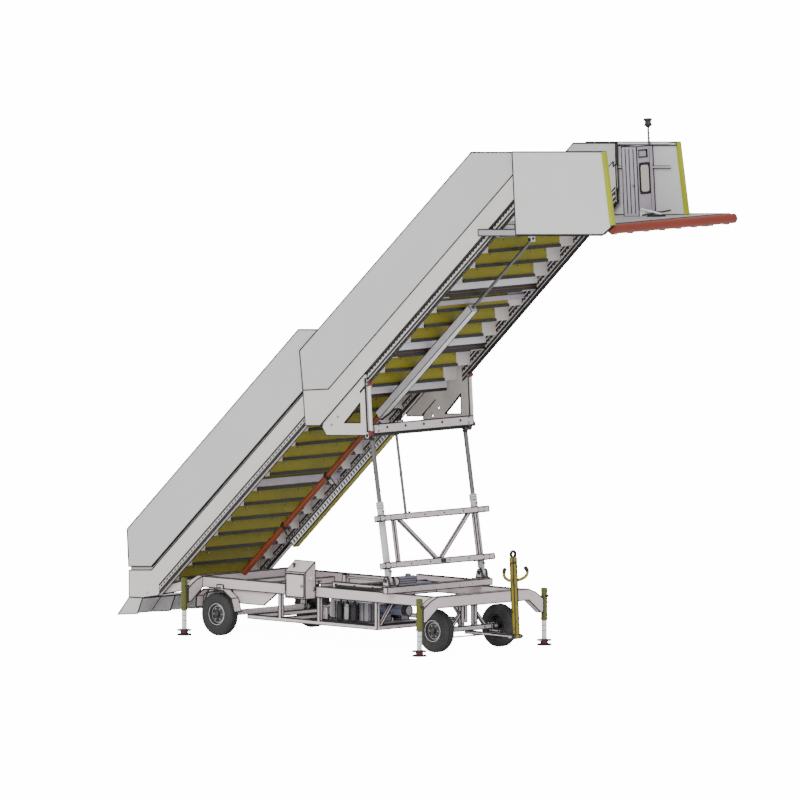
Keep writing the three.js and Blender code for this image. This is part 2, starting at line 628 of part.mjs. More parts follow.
// ---------------------------------------------------------------- upper flight
function upperStringer(name, side) {
  const { inner, outer } = UPPER_SKIN;
  const head = inStairFrame(LIFT_HEAD);
  const plate = plateXZ([
    [3230, 2265], [3507, 2264], [7445, upperSkirt(7445)], [7445, 5673], [3705, 2758], [3215, 2742],
  ], side * inner, side * outer);
  const web = plateXZ([
    [3260, 2700], [3705, 2700], [7400, upperSill(7400) - 40], [7400, upperSill(7400) + 70], [3705, 2830], [3260, 2830],
  ], side * inner, side * (inner + 11.5));
  const rail = plateXZ([
    [4300, upperSkirt(4300) - 175], [7445, upperSkirt(7445) - 175], [7445, upperSkirt(7445) + 15],
    [4300, upperSkirt(4300) + 15],
  ], side * inner, side * (inner + 12));
  const lip = plateXZ([
    [4300, upperSkirt(4300) - 175], [7445, upperSkirt(7445) - 175], [7445, upperSkirt(7445) - 155],
    [4300, upperSkirt(4300) - 155],
  ], side * inner, side * (inner + 26));
  const bracket = plateXZ([
    [3539, 2242], [3611, 2131], [4350, 2131], [4352, 2100], [4375, 2082], [4412, 2082], [4436, 2104],
    [4440, 2960], [4380, 2960], [3560, 2300],
  ], side * inner, side * (inner + 25));
  const flange = block(4428, 4440, side * (inner + 2), side * (inner + 60), 2180, 2900);
  const window = plateXZ([[3965, 2299], [4273, 2299], [4283, 2568]], side * 900, side * 1000);
  const holes = [
    bar([head.x, side * 900, head.z], [head.x, side * 1010, head.z], 23),
    bar([3842, side * 900, 2377], [3842, side * 1010, 2377], 18),
    bar([3720, side * 900, 2270], [3720, side * 1010, 2270], 18),
  ];
  return piece(name, PAINT.beige, cut(join(plate, web, rail, lip, bracket, flange), window, ...holes));
}

function upperPanel(name, side) {
  const sheet = plateXZ([
    [3215, 2742 + GAP], [3705, 2758 + GAP], [7443, 5673 + GAP], [7454, 5963], [6645, 5963], [3184, 3276],
  ], side * (UPPER_SKIN.inner + 12), side * UPPER_SKIN.outer);
  return piece(name, PAINT.panel, sheet);
}

function upperSteps() {
  const half = UPPER_SKIN.inner - GAP;
  const corner = { x: DECK.nose - UPPER_TREADS * RUN, z: DECK.top - UPPER_TREADS * RISE };
  const treads = foldedSteps(corner, UPPER_TREADS, 150, RUN, half);
  const last = block(DECK.nose - 1, DECK.nose + 4, -half, half, DECK.top - RISE - STEP_PLATE, DECK.bottom - GAP);
  const parts = [treads, last];
  for (const k of [1, 4, 7, 10]) {
    parts.push(crossTube(corner.x + k * RUN, corner.z + k * RISE, half - 1));
  }
  return piece('upper_steps', PAINT.olive, join(...parts));
}

function liftCrossbar() {
  const half = UPPER_SKIN.inner - GAP;
  const beam = block(4432, 4502, -half, half, 2152, 2272);
  const lug = block(4440, 4490, -480, -380, 2262, 2300);
  return piece('lift_crossbar', PAINT.white, join(beam, lug));
}

function deck() {
  const half = UPPER_SKIN.inner - GAP;
  const inner = block(DECK.nose + 1, 7500, -half, half, DECK.bottom, DECK.top);
  const wide = block(7447, DECK.front, -1018, 1050, DECK.bottom, DECK.top);
  const wing = block(8366, DECK.front, 1040, 1340, DECK.bottom, DECK.top);
  const parts = [inner, wide, wing];
  for (const [, side] of SIDES) {
    parts.push(block(6737, 9100, side * 990, side * 1018, 4834, 4918));
  }
  const bays = [];
  for (let bay = 0; bay < 4; bay += 1) {
    const x = 7060 + bay * 540;
    bays.push(block(x, x + 460, -880, -40, DECK.bottom - 10, DECK.top - 12));
    bays.push(block(x, x + 460, 40, 880, DECK.bottom - 10, DECK.top - 12));
  }
  return piece('deck', PAINT.panel, cut(join(...parts), ...bays));
}

function bumper() {
  const tubeBody = bar([BUMPER.x, -1018, BUMPER.z], [BUMPER.x, 1365, BUMPER.z], BUMPER.radius, 28);
  return piece('bumper', PAINT.orange, tubeBody, { metal: 0, rough: 0.6 });
}

// A sliding side guard: a flat leaf with a slanted front edge and a soft edging strip.
function guard(name, side, back, floor) {
  const points = [[7487, floor], [9160, floor], [9330, 4957], [9225, 5973], [7487, 5973]];
  const strip = [[9318, 4975], [9362, 4975], [9257, 5973], [9213, 5973]];
  const shift = ([x, z]) => [x - back, z];
  const kept = floor > 4900 ? points.map(([x, z]) => [x, Math.max(z, floor)]) : points;
  const leaf = plateXZ(kept.map(shift), side * GUARD.inner, side * GUARD.outer);
  const edge = plateXZ(strip.map(([x, z]) => shift([x, Math.max(z, floor)])), side * 1019, side * 1053);
  const frameTop = block(7487 - back, 9220 - back, side * 1012, side * 1026, 5930, 5973);
  return piece(name, PAINT.panel, join(leaf, edge, frameTop));
}

// The extension rod carries a square sleeve that slides over the barrel as the flights close.
function extensionRod() {
  const { rear, front, outer, inner } = SLEEVE;
  const rod = alongRam(3000, 6900, (from, to) => bar(from, to, 22, 20));
  const shell = alongRam(rear, front, (from, to) => tube(from, to, 2 * outer, 2 * outer));
  const room = alongRam(rear - 20, front - 12, (from, to) => tube(from, to, 2 * inner, 2 * inner));
  const bracket = block(6845, 6895, RAM.y - 45, RAM.y + 45, 4690, DECK.bottom - GAP);
  const body = join(cut(shell, room), rod, bracket);
  return piece('extension_ram_rod', PAINT.white, body, { metal: 0.3, rough: 0.4 });
}

function cabinet() {
  const body = block(7820, 8110, 702, 1010, DECK.top + GAP, 5930);
  const window = block(8070, 8120, 740, 900, 5780, 5880);
  const lamp = block(8090, 8120, 745, 930, 5290, 5700);
  return piece('lamp_cabinet', 0xb8aec0, cut(body, window, lamp));
}

function beacon() {
  const pole = bar([8080, 975, 5930 + GAP], [8080, 975, 6200], 16);
  const head = bar([8080, 975, 6190], [8080, 975, 6302], 62, 24);
  return piece('beacon', PAINT.rubber, join(pole, head));
}

// ---------------------------------------------------------------- assembly
const machine = new THREE.Group();
machine.add(chassisFrame(), bellyFrame(), rearAxle(), frontAxle(), tieRod(), drawbar(), towbar());
machine.add(batteryBox(), powerPack(), consoleBox(), consoleDoor(), stopButton());
machine.add(carriageFrame(), ...carriageRam(), syncFrame(), liftRods());

for (const [sideName, side] of SIDES) {
  machine.add(knuckle(`${sideName}_knuckle`, side));
  machine.add(...wheel(`front_${sideName}`, FRONT_WHEEL.x, side, FRONT_WHEEL.outer));
  machine.add(...wheel(`rear_${sideName}`, REAR_WHEEL.x, side, REAR_WHEEL.outer));
  machine.add(mudguard(`${sideName}_mudguard`, side));
  machine.add(...jack(`front_${sideName}_jack`, JACK_X[0], side));
  machine.add(...jack(`rear_${sideName}_jack`, JACK_X[1], side));
  machine.add(liftBarrel(`${sideName}_lift_barrel`, side));
}

// The flights are drawn with their treads level, about the tail pivot, then pitched up.
const stairs = new THREE.Group();
stairs.add(lowerSteps(), extensionBarrel(), hoseTray(), tailRamp());
stairs.add(upperSteps(), liftCrossbar(), deck(), bumper(), extensionRod(), cabinet(), beacon());
for (const [sideName, side] of SIDES) {
  stairs.add(lowerStringer(`${sideName}_lower_stringer`, side));
  stairs.add(lowerPanel(`${sideName}_lower_panel`, side));
  stairs.add(upperStringer(`${sideName}_upper_stringer`, side));
  stairs.add(upperPanel(`${sideName}_upper_panel`, side));
}
stairs.add(guard('right_guard', -1, 0, 4851), guard('left_guard', 1, FAR_GUARD_BACK, 4990));
stairs.rotation.y = -TILT * DEG;
stairs.position.set(PIVOT.x, 0, PIVOT.z);
machine.add(stairs);

// The origin is the middle of the machine's footprint on the ground.
machine.updateMatrixWorld(true);
const extent = new THREE.Box3().setFromObject(machine, true);
const centre = extent.getCenter(new THREE.Vector3());
machine.position.set(-centre.x, -centre.y, -extent.min.z);
machine.updateMatrixWorld(true);

export default machine;
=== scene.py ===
import json
import math

import bpy
import numpy as np
from bpy.props import FloatProperty, FloatVectorProperty, IntProperty, PointerProperty
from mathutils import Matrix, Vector


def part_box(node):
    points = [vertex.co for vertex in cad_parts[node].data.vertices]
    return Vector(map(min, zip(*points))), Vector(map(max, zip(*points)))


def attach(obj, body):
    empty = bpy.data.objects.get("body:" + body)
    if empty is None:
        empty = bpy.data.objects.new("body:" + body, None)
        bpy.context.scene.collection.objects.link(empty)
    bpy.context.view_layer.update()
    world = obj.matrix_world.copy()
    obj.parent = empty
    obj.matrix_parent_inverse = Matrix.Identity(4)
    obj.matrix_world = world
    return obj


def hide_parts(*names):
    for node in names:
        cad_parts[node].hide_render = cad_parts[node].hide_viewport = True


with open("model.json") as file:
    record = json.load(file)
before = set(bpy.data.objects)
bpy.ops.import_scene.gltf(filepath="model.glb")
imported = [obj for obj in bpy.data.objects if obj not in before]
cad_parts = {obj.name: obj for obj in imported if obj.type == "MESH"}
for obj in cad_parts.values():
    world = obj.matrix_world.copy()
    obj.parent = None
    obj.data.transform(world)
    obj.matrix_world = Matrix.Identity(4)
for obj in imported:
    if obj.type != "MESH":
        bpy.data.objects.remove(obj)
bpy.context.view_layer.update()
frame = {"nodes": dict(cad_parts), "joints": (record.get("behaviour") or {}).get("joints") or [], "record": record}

bl_info = {
    "name": "Boarding stair surface builder",
    "version": (1, 0, 0),
    "blender": (4, 5, 0),
    "location": "View3D > Sidebar > Boarding stair",
    "description": "Builds the finished surfaces of a towable boarding stair on its frame",
    "category": "Object",
}

SIDES = (("right", -1.0), ("left", 1.0))

# ------------------------------------------------------------------ places taken from the frame
JOINTS = {j["name"]: j for j in frame["joints"]}


def middle(node):
    """The middle of a frame node's box."""
    low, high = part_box(node)
    return (np.array(low) + np.array(high)) / 2


FRONT_JACK = (middle("front_right_jack_leg") + middle("front_left_jack_leg")) / 2
HOME = np.array([FRONT_JACK[0], FRONT_JACK[1], 0.0])
PIVOT = np.array(JOINTS["flight_pitch"]["pos_m"])
LEVEL = np.array(JOINTS["right_guard_slide"]["axis"])
SLOPE = np.array(JOINTS["flight_extend"]["axis"])
ACROSS = np.array([0.0, 1.0, 0.0])
PLUMB = np.cross(LEVEL, ACROSS)
UNDER = np.cross(SLOPE, ACROSS)
PITCH = math.acos(float(np.clip(LEVEL @ SLOPE, -1, 1)))


def chassis(x, y, z):
    """A chassis point: x ahead of the front jacks, y to the left of the middle, z above ground."""
    return HOME + np.array([x, y, z])


def stair(x, y, z):
    """A point of the flights' own frame, whose x runs along a tread and z up from the tail pivot."""
    return PIVOT + LEVEL * x + ACROSS * y + PLUMB * z


LIFT_FOOT = np.array(JOINTS["lift_barrel_tilt"]["pos_m"])
LIFT_HEAD = np.array(JOINTS["lift_rod_tilt"]["pos_m"])
LIFT_FOOT[1] = LIFT_HEAD[1] = HOME[1]
LIFT_LENGTH = float(np.linalg.norm(LIFT_HEAD - LIFT_FOOT))
LIFT_UP = (LIFT_HEAD - LIFT_FOOT) / LIFT_LENGTH
LIFT_AHEAD = np.cross(ACROSS, LIFT_UP)


def lift(ahead, y, up):
    """A point of the lift's leaning frame, whose up axis runs from foot pin to head pin."""
    return LIFT_FOOT + LIFT_AHEAD * ahead + ACROSS * y + LIFT_UP * up


# ------------------------------------------------------------------ user sizes and colours
class StairSizes(bpy.types.PropertyGroup):
    bolt_head: FloatProperty(
        name="Bolt head", description="Across the flats of the larger bolts", default=0.026, unit="LENGTH")
    rivet_head: FloatProperty(
        name="Rivet head", description="Diameter of the panel rivets", default=0.014, unit="LENGTH")
    edge_line: FloatProperty(
        name="Edge line", description="Width of the dark worn line along sheet edges", default=0.011,
        unit="LENGTH")
    rise: FloatProperty(
        name="Rise", description="Height from one tread to the next", default=0.202, unit="LENGTH")
    run: FloatProperty(
        name="Run", description="Depth from one nosing to the next", default=0.260, unit="LENGTH")
    lower_treads: IntProperty(
        name="Lower treads", description="Treads on the lower flight", default=15)
    upper_treads: IntProperty(
        name="Upper treads", description="Treads on the upper flight", default=11)


def colour_property(name, rgb):
    return FloatVectorProperty(
        name=name, description=f"Colour of the {name.lower()}", default=rgb, size=3, min=0, max=1,
        subtype="COLOR")


class StairColours(bpy.types.PropertyGroup):
    frame: colour_property("Frame paint", (0.66, 0.585, 0.60))
    axle: colour_property("Axle paint", (0.60, 0.56, 0.58))
    panel: colour_property("Side panels", (0.575, 0.575, 0.58))
    guard: colour_property("Sliding guards", (0.645, 0.645, 0.65))
    stringer: colour_property("Stringers", (0.66, 0.625, 0.60))
    step: colour_property("Risers", (0.27, 0.245, 0.0))
    cylinder: colour_property("Cylinder barrels", (0.60, 0.60, 0.60))
    orange: colour_property("Orange paint", (0.22, 0.035, 0.002))
    towbar: colour_property("Towbar paint", (0.25, 0.195, 0.0))
    jack: colour_property("Jack housings", (0.085, 0.098, 0.004))
    blue: colour_property("Motor and ram paint", (0.22, 0.24, 0.36))
    edging: colour_property("Guard edging", (0.32, 0.36, 0.008))
    mauve: colour_property("Cabinet paint", (0.46, 0.42, 0.50))
    foot: colour_property("Jack foot core", (0.20, 0.008, 0.015))


def sizes():
    return bpy.context.scene.stair_sizes


def colours():
    return bpy.context.scene.stair_colours


# ------------------------------------------------------------------ surfaces worked out as arrays
def unit(v):
    v = np.asarray(v, float)
    return v / np.linalg.norm(v)


def axes_along(direction, level=None):
    """Two unit vectors square to a direction; the first is the level given, made square to it."""
    d = unit(direction)
    guess = ACROSS if level is None else np.asarray(level, float)
    if abs(guess @ d) > 0.95:
        guess = np.array([1.0, 0.0, 0.0]) if abs(d[0]) < 0.9 else np.array([0.0, 0.0, 1.0])
    a = unit(guess - d * (guess @ d))
    return a, np.cross(d, a)


def volume_sign(points, faces):
    """Six times the signed volume, summed over fans of triangles from each face's first corner."""
    total = 0.0
    for size in sorted({len(f) for f in faces}):
        group = np.array([f for f in faces if len(f) == size])
        base = points[group[:, 0]]
        for k in range(1, size - 1):
            total += np.einsum(
                "ij,ij->i", base, np.cross(points[group[:, k]], points[group[:, k + 1]])).sum()
    return total


FLOOR_HALF = 300.0       # half the side of the floor, m
CAMERA_REACH = 60.0      # from the point looked at to the camera, m
LIFT_SIDE = 0.890        # from the middle plane to each lift cylinder's axis, m
LIFT_DROP_ROD = -0.420   # the middle rod that hangs beside the cylinders, m
RAM_DEPTH = 0.290        # how far the extension ram lies under the nosing line, m
RISER_HALF = 0.68        # half the painted width of a riser, m
GUARD_NOSE = 9.362       # the near guard's foremost point along the level deck, m
GUARD_TOP = 5.973        # top edge of both guards, m
GUARD_RAIL = (7.60, 9.10)  # the guard rails' two ends, m
CARRIAGE_RAM_UP = 0.836  # height of the carriage ram's axis, m
CABINET_LINES = (5.02, 5.90)  # lower and upper end of the cabinet's seams, m


class Surface:
    """Collects closed shells of points and faces, each with a paint, and makes one piece of them."""

    def __init__(self):
        self.points, self.faces, self.paints, self.round = [], [], [], []
        self.count = 0

    def shell(self, points, faces, paint=0, smooth=False):
        points = np.asarray(points, float)
        if volume_sign(points - points.mean(0), faces) < 0:
            faces = [f[::-1] for f in faces]
        self.points.append(points)
        self.faces += [tuple(int(i) + self.count for i in f) for f in faces]
        self.paints += [paint] * len(faces)
        self.round += [smooth] * len(faces)
        self.count += len(points)
        return self

    def grid(self, points, paint=0, smooth=True):
        """A closed tube from a grid of rings: ring i, corner j joins ring i+1 and corner j+1, and
        the end rings are closed by one face each."""
        rings, corners = points.shape[:2]
        i, j = np.meshgrid(np.arange(rings - 1), np.arange(corners), indexing="ij")
        k = (j + 1) % corners
        quads = np.stack(
            [i * corners + j, i * corners + k, (i + 1) * corners + k, (i + 1) * corners + j], -1)
        faces = [tuple(f) for f in quads.reshape(-1, 4).tolist()]
        faces.append(tuple(range(corners))[::-1])
        faces.append(tuple(range((rings - 1) * corners, rings * corners)))
        return self.shell(points.reshape(-1, 3), faces, paint, smooth)

    def turned(self, start, direction, profile, corners=32, paint=0, smooth=True):
        """A turned shape: at each (along, radius) of the profile a circle of that radius stands
        square to the direction, that far along it from the start."""
        a, b = axes_along(direction)
        d = unit(direction)
        along, radius = np.array(profile, float).T
        turn = np.linspace(0, 2 * math.pi, corners, endpoint=False)
        ring = np.cos(turn)[:, None] * a + np.sin(turn)[:, None] * b
        points = np.asarray(start) + along[:, None, None] * d + radius[:, None, None] * ring[None]
        return self.grid(points, paint, smooth)

    def rod(self, start, end, radius, corners=20, paint=0, round_over=0.15):
        """A round bar whose end edges are eased by a share of its radius."""
        run = np.asarray(end, float) - np.asarray(start, float)
        length = float(np.linalg.norm(run))
        ease = min(radius * round_over, length * 0.3)
        profile = [(0, radius - ease), (ease, radius), (length - ease, radius), (length, radius - ease)]
        return self.turned(start, run, profile, corners, paint)

    def loop(self, start, direction, profile, corners=32, paint=0):
        """A ring: a closed profile of (along, radius) carried once round the direction."""
        a, b = axes_along(direction)
        d = unit(direction)
        along, radius = np.array(profile, float).T
        turn = np.linspace(0, 2 * math.pi, corners, endpoint=False)
        ring = np.cos(turn)[:, None] * a + np.sin(turn)[:, None] * b
        points = np.asarray(start) + along[None, :, None] * d + radius[None, :, None] * ring[:, None]
        m = len(profile)
        i, j = np.meshgrid(np.arange(corners), np.arange(m), indexing="ij")
        i2, j2 = (i + 1) % corners, (j + 1) % m
        quads = np.stack([i * m + j, i * m + j2, i2 * m + j2, i2 * m + j], -1).reshape(-1, 4)
        return self.shell(points.reshape(-1, 3), [tuple(q) for q in quads.tolist()], paint, True)

    def plate(self, outline, place, depth, paint=0):
        """A flat plate: each (u, v) of the outline is placed by a function, and again moved by depth."""
        near = np.array([place(u, v) for u, v in outline])
        points = np.stack([near, near + np.asarray(depth, float)])
        return self.grid(points, paint, smooth=False)

    def block(self, low, high, place, paint=0):
        """A block between two corners of a frame whose points the place function gives."""
        (x0, y0, z0), (x1, y1, z1) = low, high
        corners = [(x0, y0), (x1, y0), (x1, y1), (x0, y1)]
        points = np.array([[place(x, y, z) for x, y in corners] for z in (z0, z1)])
        return self.grid(points, paint, smooth=False)

    def swept(self, path, section, level=None, paint=0, smooth=True):
        """A section of (u, v) carried along a path: at each point u runs along the level direction
        made square to the path, and v square to both."""
        path = np.asarray(path, float)
        tangent = np.gradient(path, axis=0)
        tangent /= np.linalg.norm(tangent, axis=1)[:, None]
        guess = ACROSS if level is None else np.asarray(level, float)
        u = guess - tangent * (tangent @ guess)[:, None]
        u /= np.linalg.norm(u, axis=1)[:, None]
        v = np.cross(tangent, u)
        section = np.asarray(section, float)
        points = path[:, None] + u[:, None] * section[None, :, :1] + v[:, None] * section[None, :, 1:]
        return self.grid(points, paint, smooth)

    def bolt(self, at, outward, across=None, paint=0, washer=True):
        """A hexagon head on a washer, standing on a face."""
        across = sizes().bolt_head if across is None else across
        out = unit(outward)
        if washer:
            self.turned(at, out, [(0, across * 0.78), (0.003, across * 0.78)], 16, paint, False)
        r = across / math.sqrt(3)
        profile = [(0.002, r), (across * 0.5, r), (across * 0.58, r * 0.82)]
        return self.turned(at, out, profile, 6, paint, False)

    def rivet(self, at, outward, across=None, paint=0):
        """A domed head: its radius falls with height as a quarter of an ellipse does."""
        r = (sizes().rivet_head if across is None else across) / 2
        t = np.linspace(0, 1, 3)
        profile = [(float(0.55 * r * s), float(max(r * math.sqrt(1 - s * s * 0.9), 0.2 * r))) for s in t]
        return self.turned(at, outward, profile, 8, paint)

    def finish(self, name, body, paints, slot, replaces=(), bevel=0.0):
        mesh = bpy.data.meshes.new(name)
        mesh.from_pydata(np.concatenate(self.points).tolist(), [], self.faces)
        for paint in paints:
            mesh.materials.append(paint)
        mesh.polygons.foreach_set("material_index", np.array(self.paints, np.int32))
        mesh.polygons.foreach_set("use_smooth", np.array(self.round, bool))
        mesh.update()
        piece = bpy.data.objects.new(name, mesh)
        bpy.context.scene.collection.objects.link(piece)
        if bevel:
            ease = piece.modifiers.new("ease", "BEVEL")
            ease.width, ease.segments, ease.limit_method, ease.angle_limit = bevel, 2, "ANGLE", 0.7
            ease.use_clamp_overlap = True
        if any(self.round):
            mesh.set_sharp_from_angle(angle=math.radians(38))
        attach(piece, body)
        if replaces:
            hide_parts(*replaces)
        return piece


def rounded(half_u, half_v, ease, steps=3):
    """A rectangle's outline with round corners: a quarter circle at each corner."""
    points = []
    for k, (su, sv) in enumerate(((1, 1), (-1, 1), (-1, -1), (1, -1))):
        for t in np.linspace(k, k + 1, steps + 1) * math.pi / 2:
            points.append(
                (su * (half_u - ease) + ease * math.cos(t), sv * (half_v - ease) + ease * math.sin(t)))
    return points


def circle(radius, corners=12):
    turn = np.linspace(0, 2 * math.pi, corners, endpoint=False)
    return np.stack([radius * np.cos(turn), radius * np.sin(turn)], 1)


def smooth_path(points, steps=8):
    """A Catmull-Rom curve through given points: each stretch is the cubic that keeps the
    direction between its neighbours."""
    p = np.asarray(points, float)
    p = np.vstack([2 * p[0] - p[1], p, 2 * p[-1] - p[-2]])
    t = np.linspace(0, 1, steps, endpoint=False)[:, None]
    stretches = []
    for k in range(1, len(p) - 2):
        a, b, c, d = p[k - 1], p[k], p[k + 1], p[k + 2]
        stretches.append(0.5 * (2 * b + (c - a) * t + (2 * a - 5 * b + 4 * c - d) * t**2
                                + (3 * b - a - 3 * c + d) * t**3))
    return np.vstack([*stretches, p[-2][None]])


# ------------------------------------------------------------------ finishes
FINISHES = {}


class Nodes:
    """A short way to add linked shader nodes to one material."""

    def __init__(self, name):
        self.material = bpy.data.materials.new(name)
        self.material.use_nodes = True
        self.tree = self.material.node_tree
        self.shader = self.tree.nodes["Principled BSDF"]
        self.where = self.add("ShaderNodeTexCoord").outputs["Object"]

    def add(self, kind, **settings):
        node = self.tree.nodes.new(kind)
        for key, value in settings.items():
            setattr(node, key, value)
        return node

    def feed(self, socket, value):
        if isinstance(value, bpy.types.NodeSocket):
            self.tree.links.new(value, socket)
        else:
            socket.default_value = value

    def noise(self, scale, detail=4.0, rough=0.55, where=None):
        node = self.add("ShaderNodeTexNoise")
        self.feed(node.inputs["Vector"], where or self.where)
        node.inputs["Scale"].default_value = scale
        node.inputs["Detail"].default_value = detail
        node.inputs["Roughness"].default_value = rough
        return node.outputs["Fac"]

    def mapped(self, scale=(1, 1, 1), turn=(0, 0, 0)):
        node = self.add("ShaderNodeMapping")
        self.feed(node.inputs["Vector"], self.where)
        node.inputs["Scale"].default_value = scale
        node.inputs["Rotation"].default_value = turn
        return node.outputs["Vector"]

    def ramp(self, value, low, high, out_low=0.0, out_high=1.0):
        node = self.add("ShaderNodeMapRange")
        node.clamp = True
        self.feed(node.inputs["Value"], value)
        for name, amount in (
            ("From Min", low), ("From Max", high), ("To Min", out_low), ("To Max", out_high)):
            node.inputs[name].default_value = amount
        return node.outputs["Result"]

    def math(self, kind, a, b=0.0):
        node = self.add("ShaderNodeMath", operation=kind)
        self.feed(node.inputs[0], a)
        self.feed(node.inputs[1], b)
        return node.outputs[0]

    def blend(self, share, a, b, kind="MIX"):
        node = self.add("ShaderNodeMix", data_type="RGBA", blend_type=kind)
        self.feed(node.inputs["Factor"], share)
        for socket, value in ((node.inputs[6], a), (node.inputs[7], b)):
            self.feed(socket, value if isinstance(value, bpy.types.NodeSocket) else (*value, 1.0))
        return node.outputs[2]

    def edges(self, width):
        """How far the surface's own normal turns from one eased over the width: 1 at an edge."""
        ease = self.add("ShaderNodeBevel", samples=6)
        ease.inputs["Radius"].default_value = width
        flat = self.add("ShaderNodeNewGeometry").outputs["True Normal"]
        dot = self.add("ShaderNodeVectorMath", operation="DOT_PRODUCT")
        self.feed(dot.inputs[0], ease.outputs["Normal"])
        self.feed(dot.inputs[1], flat)
        return self.ramp(dot.outputs["Value"], 0.995, 0.90)

    def bump(self, height, strength, distance=0.002, under=None):
        node = self.add("ShaderNodeBump")
        node.inputs["Strength"].default_value = strength
        node.inputs["Distance"].default_value = distance
        self.feed(node.inputs["Height"], height)
        if under:
            self.feed(node.inputs["Normal"], under)
        return node.outputs["Normal"]

    def done(self, colour, rough, metal=0.0, normal=None, **sockets):
        self.feed(self.shader.inputs["Base Color"],
                  colour if isinstance(colour, bpy.types.NodeSocket) else (*colour, 1.0))
        self.feed(self.shader.inputs["Roughness"], rough)
        self.shader.inputs["Metallic"].default_value = metal
        if normal:
            self.feed(self.shader.inputs["Normal"], normal)
        for name, value in sockets.items():
            self.shader.inputs[name.replace("_", " ")].default_value = value
        return self.material


def shade(rgb, factor):
    return tuple(min(1.0, c * factor) for c in rgb)


def painted(name, rgb, rough=0.42, grime=0.10, line=0.62, peel=0.12):
    """Sprayed paint: slow drifts of tone, rain streaks, a fine orange peel and a dark line at edges."""
    n = Nodes(name)
    drift = n.ramp(n.noise(0.9, 3), 0.35, 0.7)
    tone = n.blend(drift, shade(rgb, 1.0 - grime * 0.5), shade(rgb, 1.0 + grime * 0.35))
    streak = n.noise(6.0, 5, where=n.mapped((1.0, 1.0, 0.08)))
    tone = n.blend(n.ramp(streak, 0.52, 0.85, 0.0, grime), tone, shade(rgb, 0.72))
    spots = n.ramp(n.noise(70.0, 2), 0.70, 0.78, 0.0, 0.25)
    tone = n.blend(spots, tone, shade(rgb, 0.80))
    edge = n.edges(sizes().edge_line)
    broken = n.math("MULTIPLY", edge, n.ramp(n.noise(9.0, 4), 0.25, 0.55, 0.72, 1.0))
    tone = n.blend(n.math("MULTIPLY", broken, line), tone, (0.012, 0.012, 0.014))
    gloss = n.ramp(n.noise(14.0, 4), 0.3, 0.75, rough - 0.06, rough + 0.12)
    peel_bump = n.bump(n.noise(420.0, 2), peel, 0.0006)
    return n.done(tone, gloss, 0.0, peel_bump, Coat_Weight=0.12, Coat_Roughness=0.25)


def steel(name, rgb, rough=0.28, brushed=(1, 1, 30), line=0.5):
    """Bare or chromed steel: brushing drawn out along one direction, and faint oil marks."""
    n = Nodes(name)
    brush = n.noise(40.0, 4, where=n.mapped(brushed))
    tone = n.blend(n.ramp(brush, 0.3, 0.7), shade(rgb, 0.86), shade(rgb, 1.08))
    oil = n.ramp(n.noise(3.0, 4), 0.55, 0.75, 0.0, 0.35)
    tone = n.blend(oil, tone, shade(rgb, 0.62))
    tone = n.blend(n.math("MULTIPLY", n.edges(0.007), line), tone, (0.015, 0.015, 0.015))
    gloss = n.ramp(brush, 0.3, 0.75, rough - 0.05, rough + 0.14)
    return n.done(tone, gloss, 1.0, n.bump(brush, 0.08, 0.0005))


def rubber(name, rgb, rough=0.75, line=0.35):
    """Moulded rubber: a bloom of paler dust over a fine grain."""
    n = Nodes(name)
    dust = n.ramp(n.noise(3.5, 6, 0.6), 0.45, 0.75, 0.0, 0.5)
    tone = n.blend(dust, rgb, shade([c + 0.012 for c in rgb], 1.35))
    tone = n.blend(n.math("MULTIPLY", n.edges(0.008), line), tone, shade(rgb, 0.35))
    grain = n.noise(260.0, 3)
    gloss = n.ramp(n.noise(20.0, 3), 0.3, 0.7, rough - 0.08, rough + 0.12)
    return n.done(tone, gloss, 0.0, n.bump(grain, 0.22, 0.0008))


def stud_plate(name, rgb, metal=0.0):
    """Tread plate: rows of raised lozenges, each row's neighbours turned the other way."""
    n = Nodes(name)
    first = n.add("ShaderNodeTexWave", wave_type="BANDS", bands_direction="X")
    n.feed(first.inputs["Vector"], n.mapped((1, 1, 1), (0, 0, math.radians(45))))
    first.inputs["Scale"].default_value = 9.0
    second = n.add("ShaderNodeTexWave", wave_type="BANDS", bands_direction="Y")
    n.feed(second.inputs["Vector"], n.mapped((1, 1, 1), (0, 0, math.radians(45))))
    second.inputs["Scale"].default_value = 9.0
    studs = n.ramp(n.math("MULTIPLY", first.outputs["Fac"], second.outputs["Fac"]), 0.35, 0.6)
    drift = n.ramp(n.noise(1.4, 4), 0.35, 0.7)
    tone = n.blend(drift, shade(rgb, 0.88), shade(rgb, 1.08))
    tone = n.blend(n.math("MULTIPLY", studs, 0.5), tone, shade(rgb, 1.35))
    tone = n.blend(n.math("MULTIPLY", n.edges(0.010), 0.6), tone, (0.012, 0.012, 0.012))
    grit = n.bump(n.noise(300.0, 2), 0.25, 0.0008)
    return n.done(tone, n.ramp(studs, 0, 1, 0.62, 0.4), metal, n.bump(studs, 0.6, 0.003, grit))


def lens(name, rgb, alpha=1.0, glow=0.0):
    """A moulded lens: fluted bands under a clear gloss."""
    n = Nodes(name)
    flute = n.add("ShaderNodeTexWave", wave_type="BANDS", bands_direction="Z")
    n.feed(flute.inputs["Vector"], n.where)
    flute.inputs["Scale"].default_value = 30.0
    tone = n.blend(flute.outputs["Fac"], shade(rgb, 0.8), shade(rgb, 1.15))
    return n.done(tone, 0.12, 0.0, n.bump(flute.outputs["Fac"], 0.3, 0.001),
                  Alpha=alpha, Coat_Weight=0.5, Emission_Strength=glow)


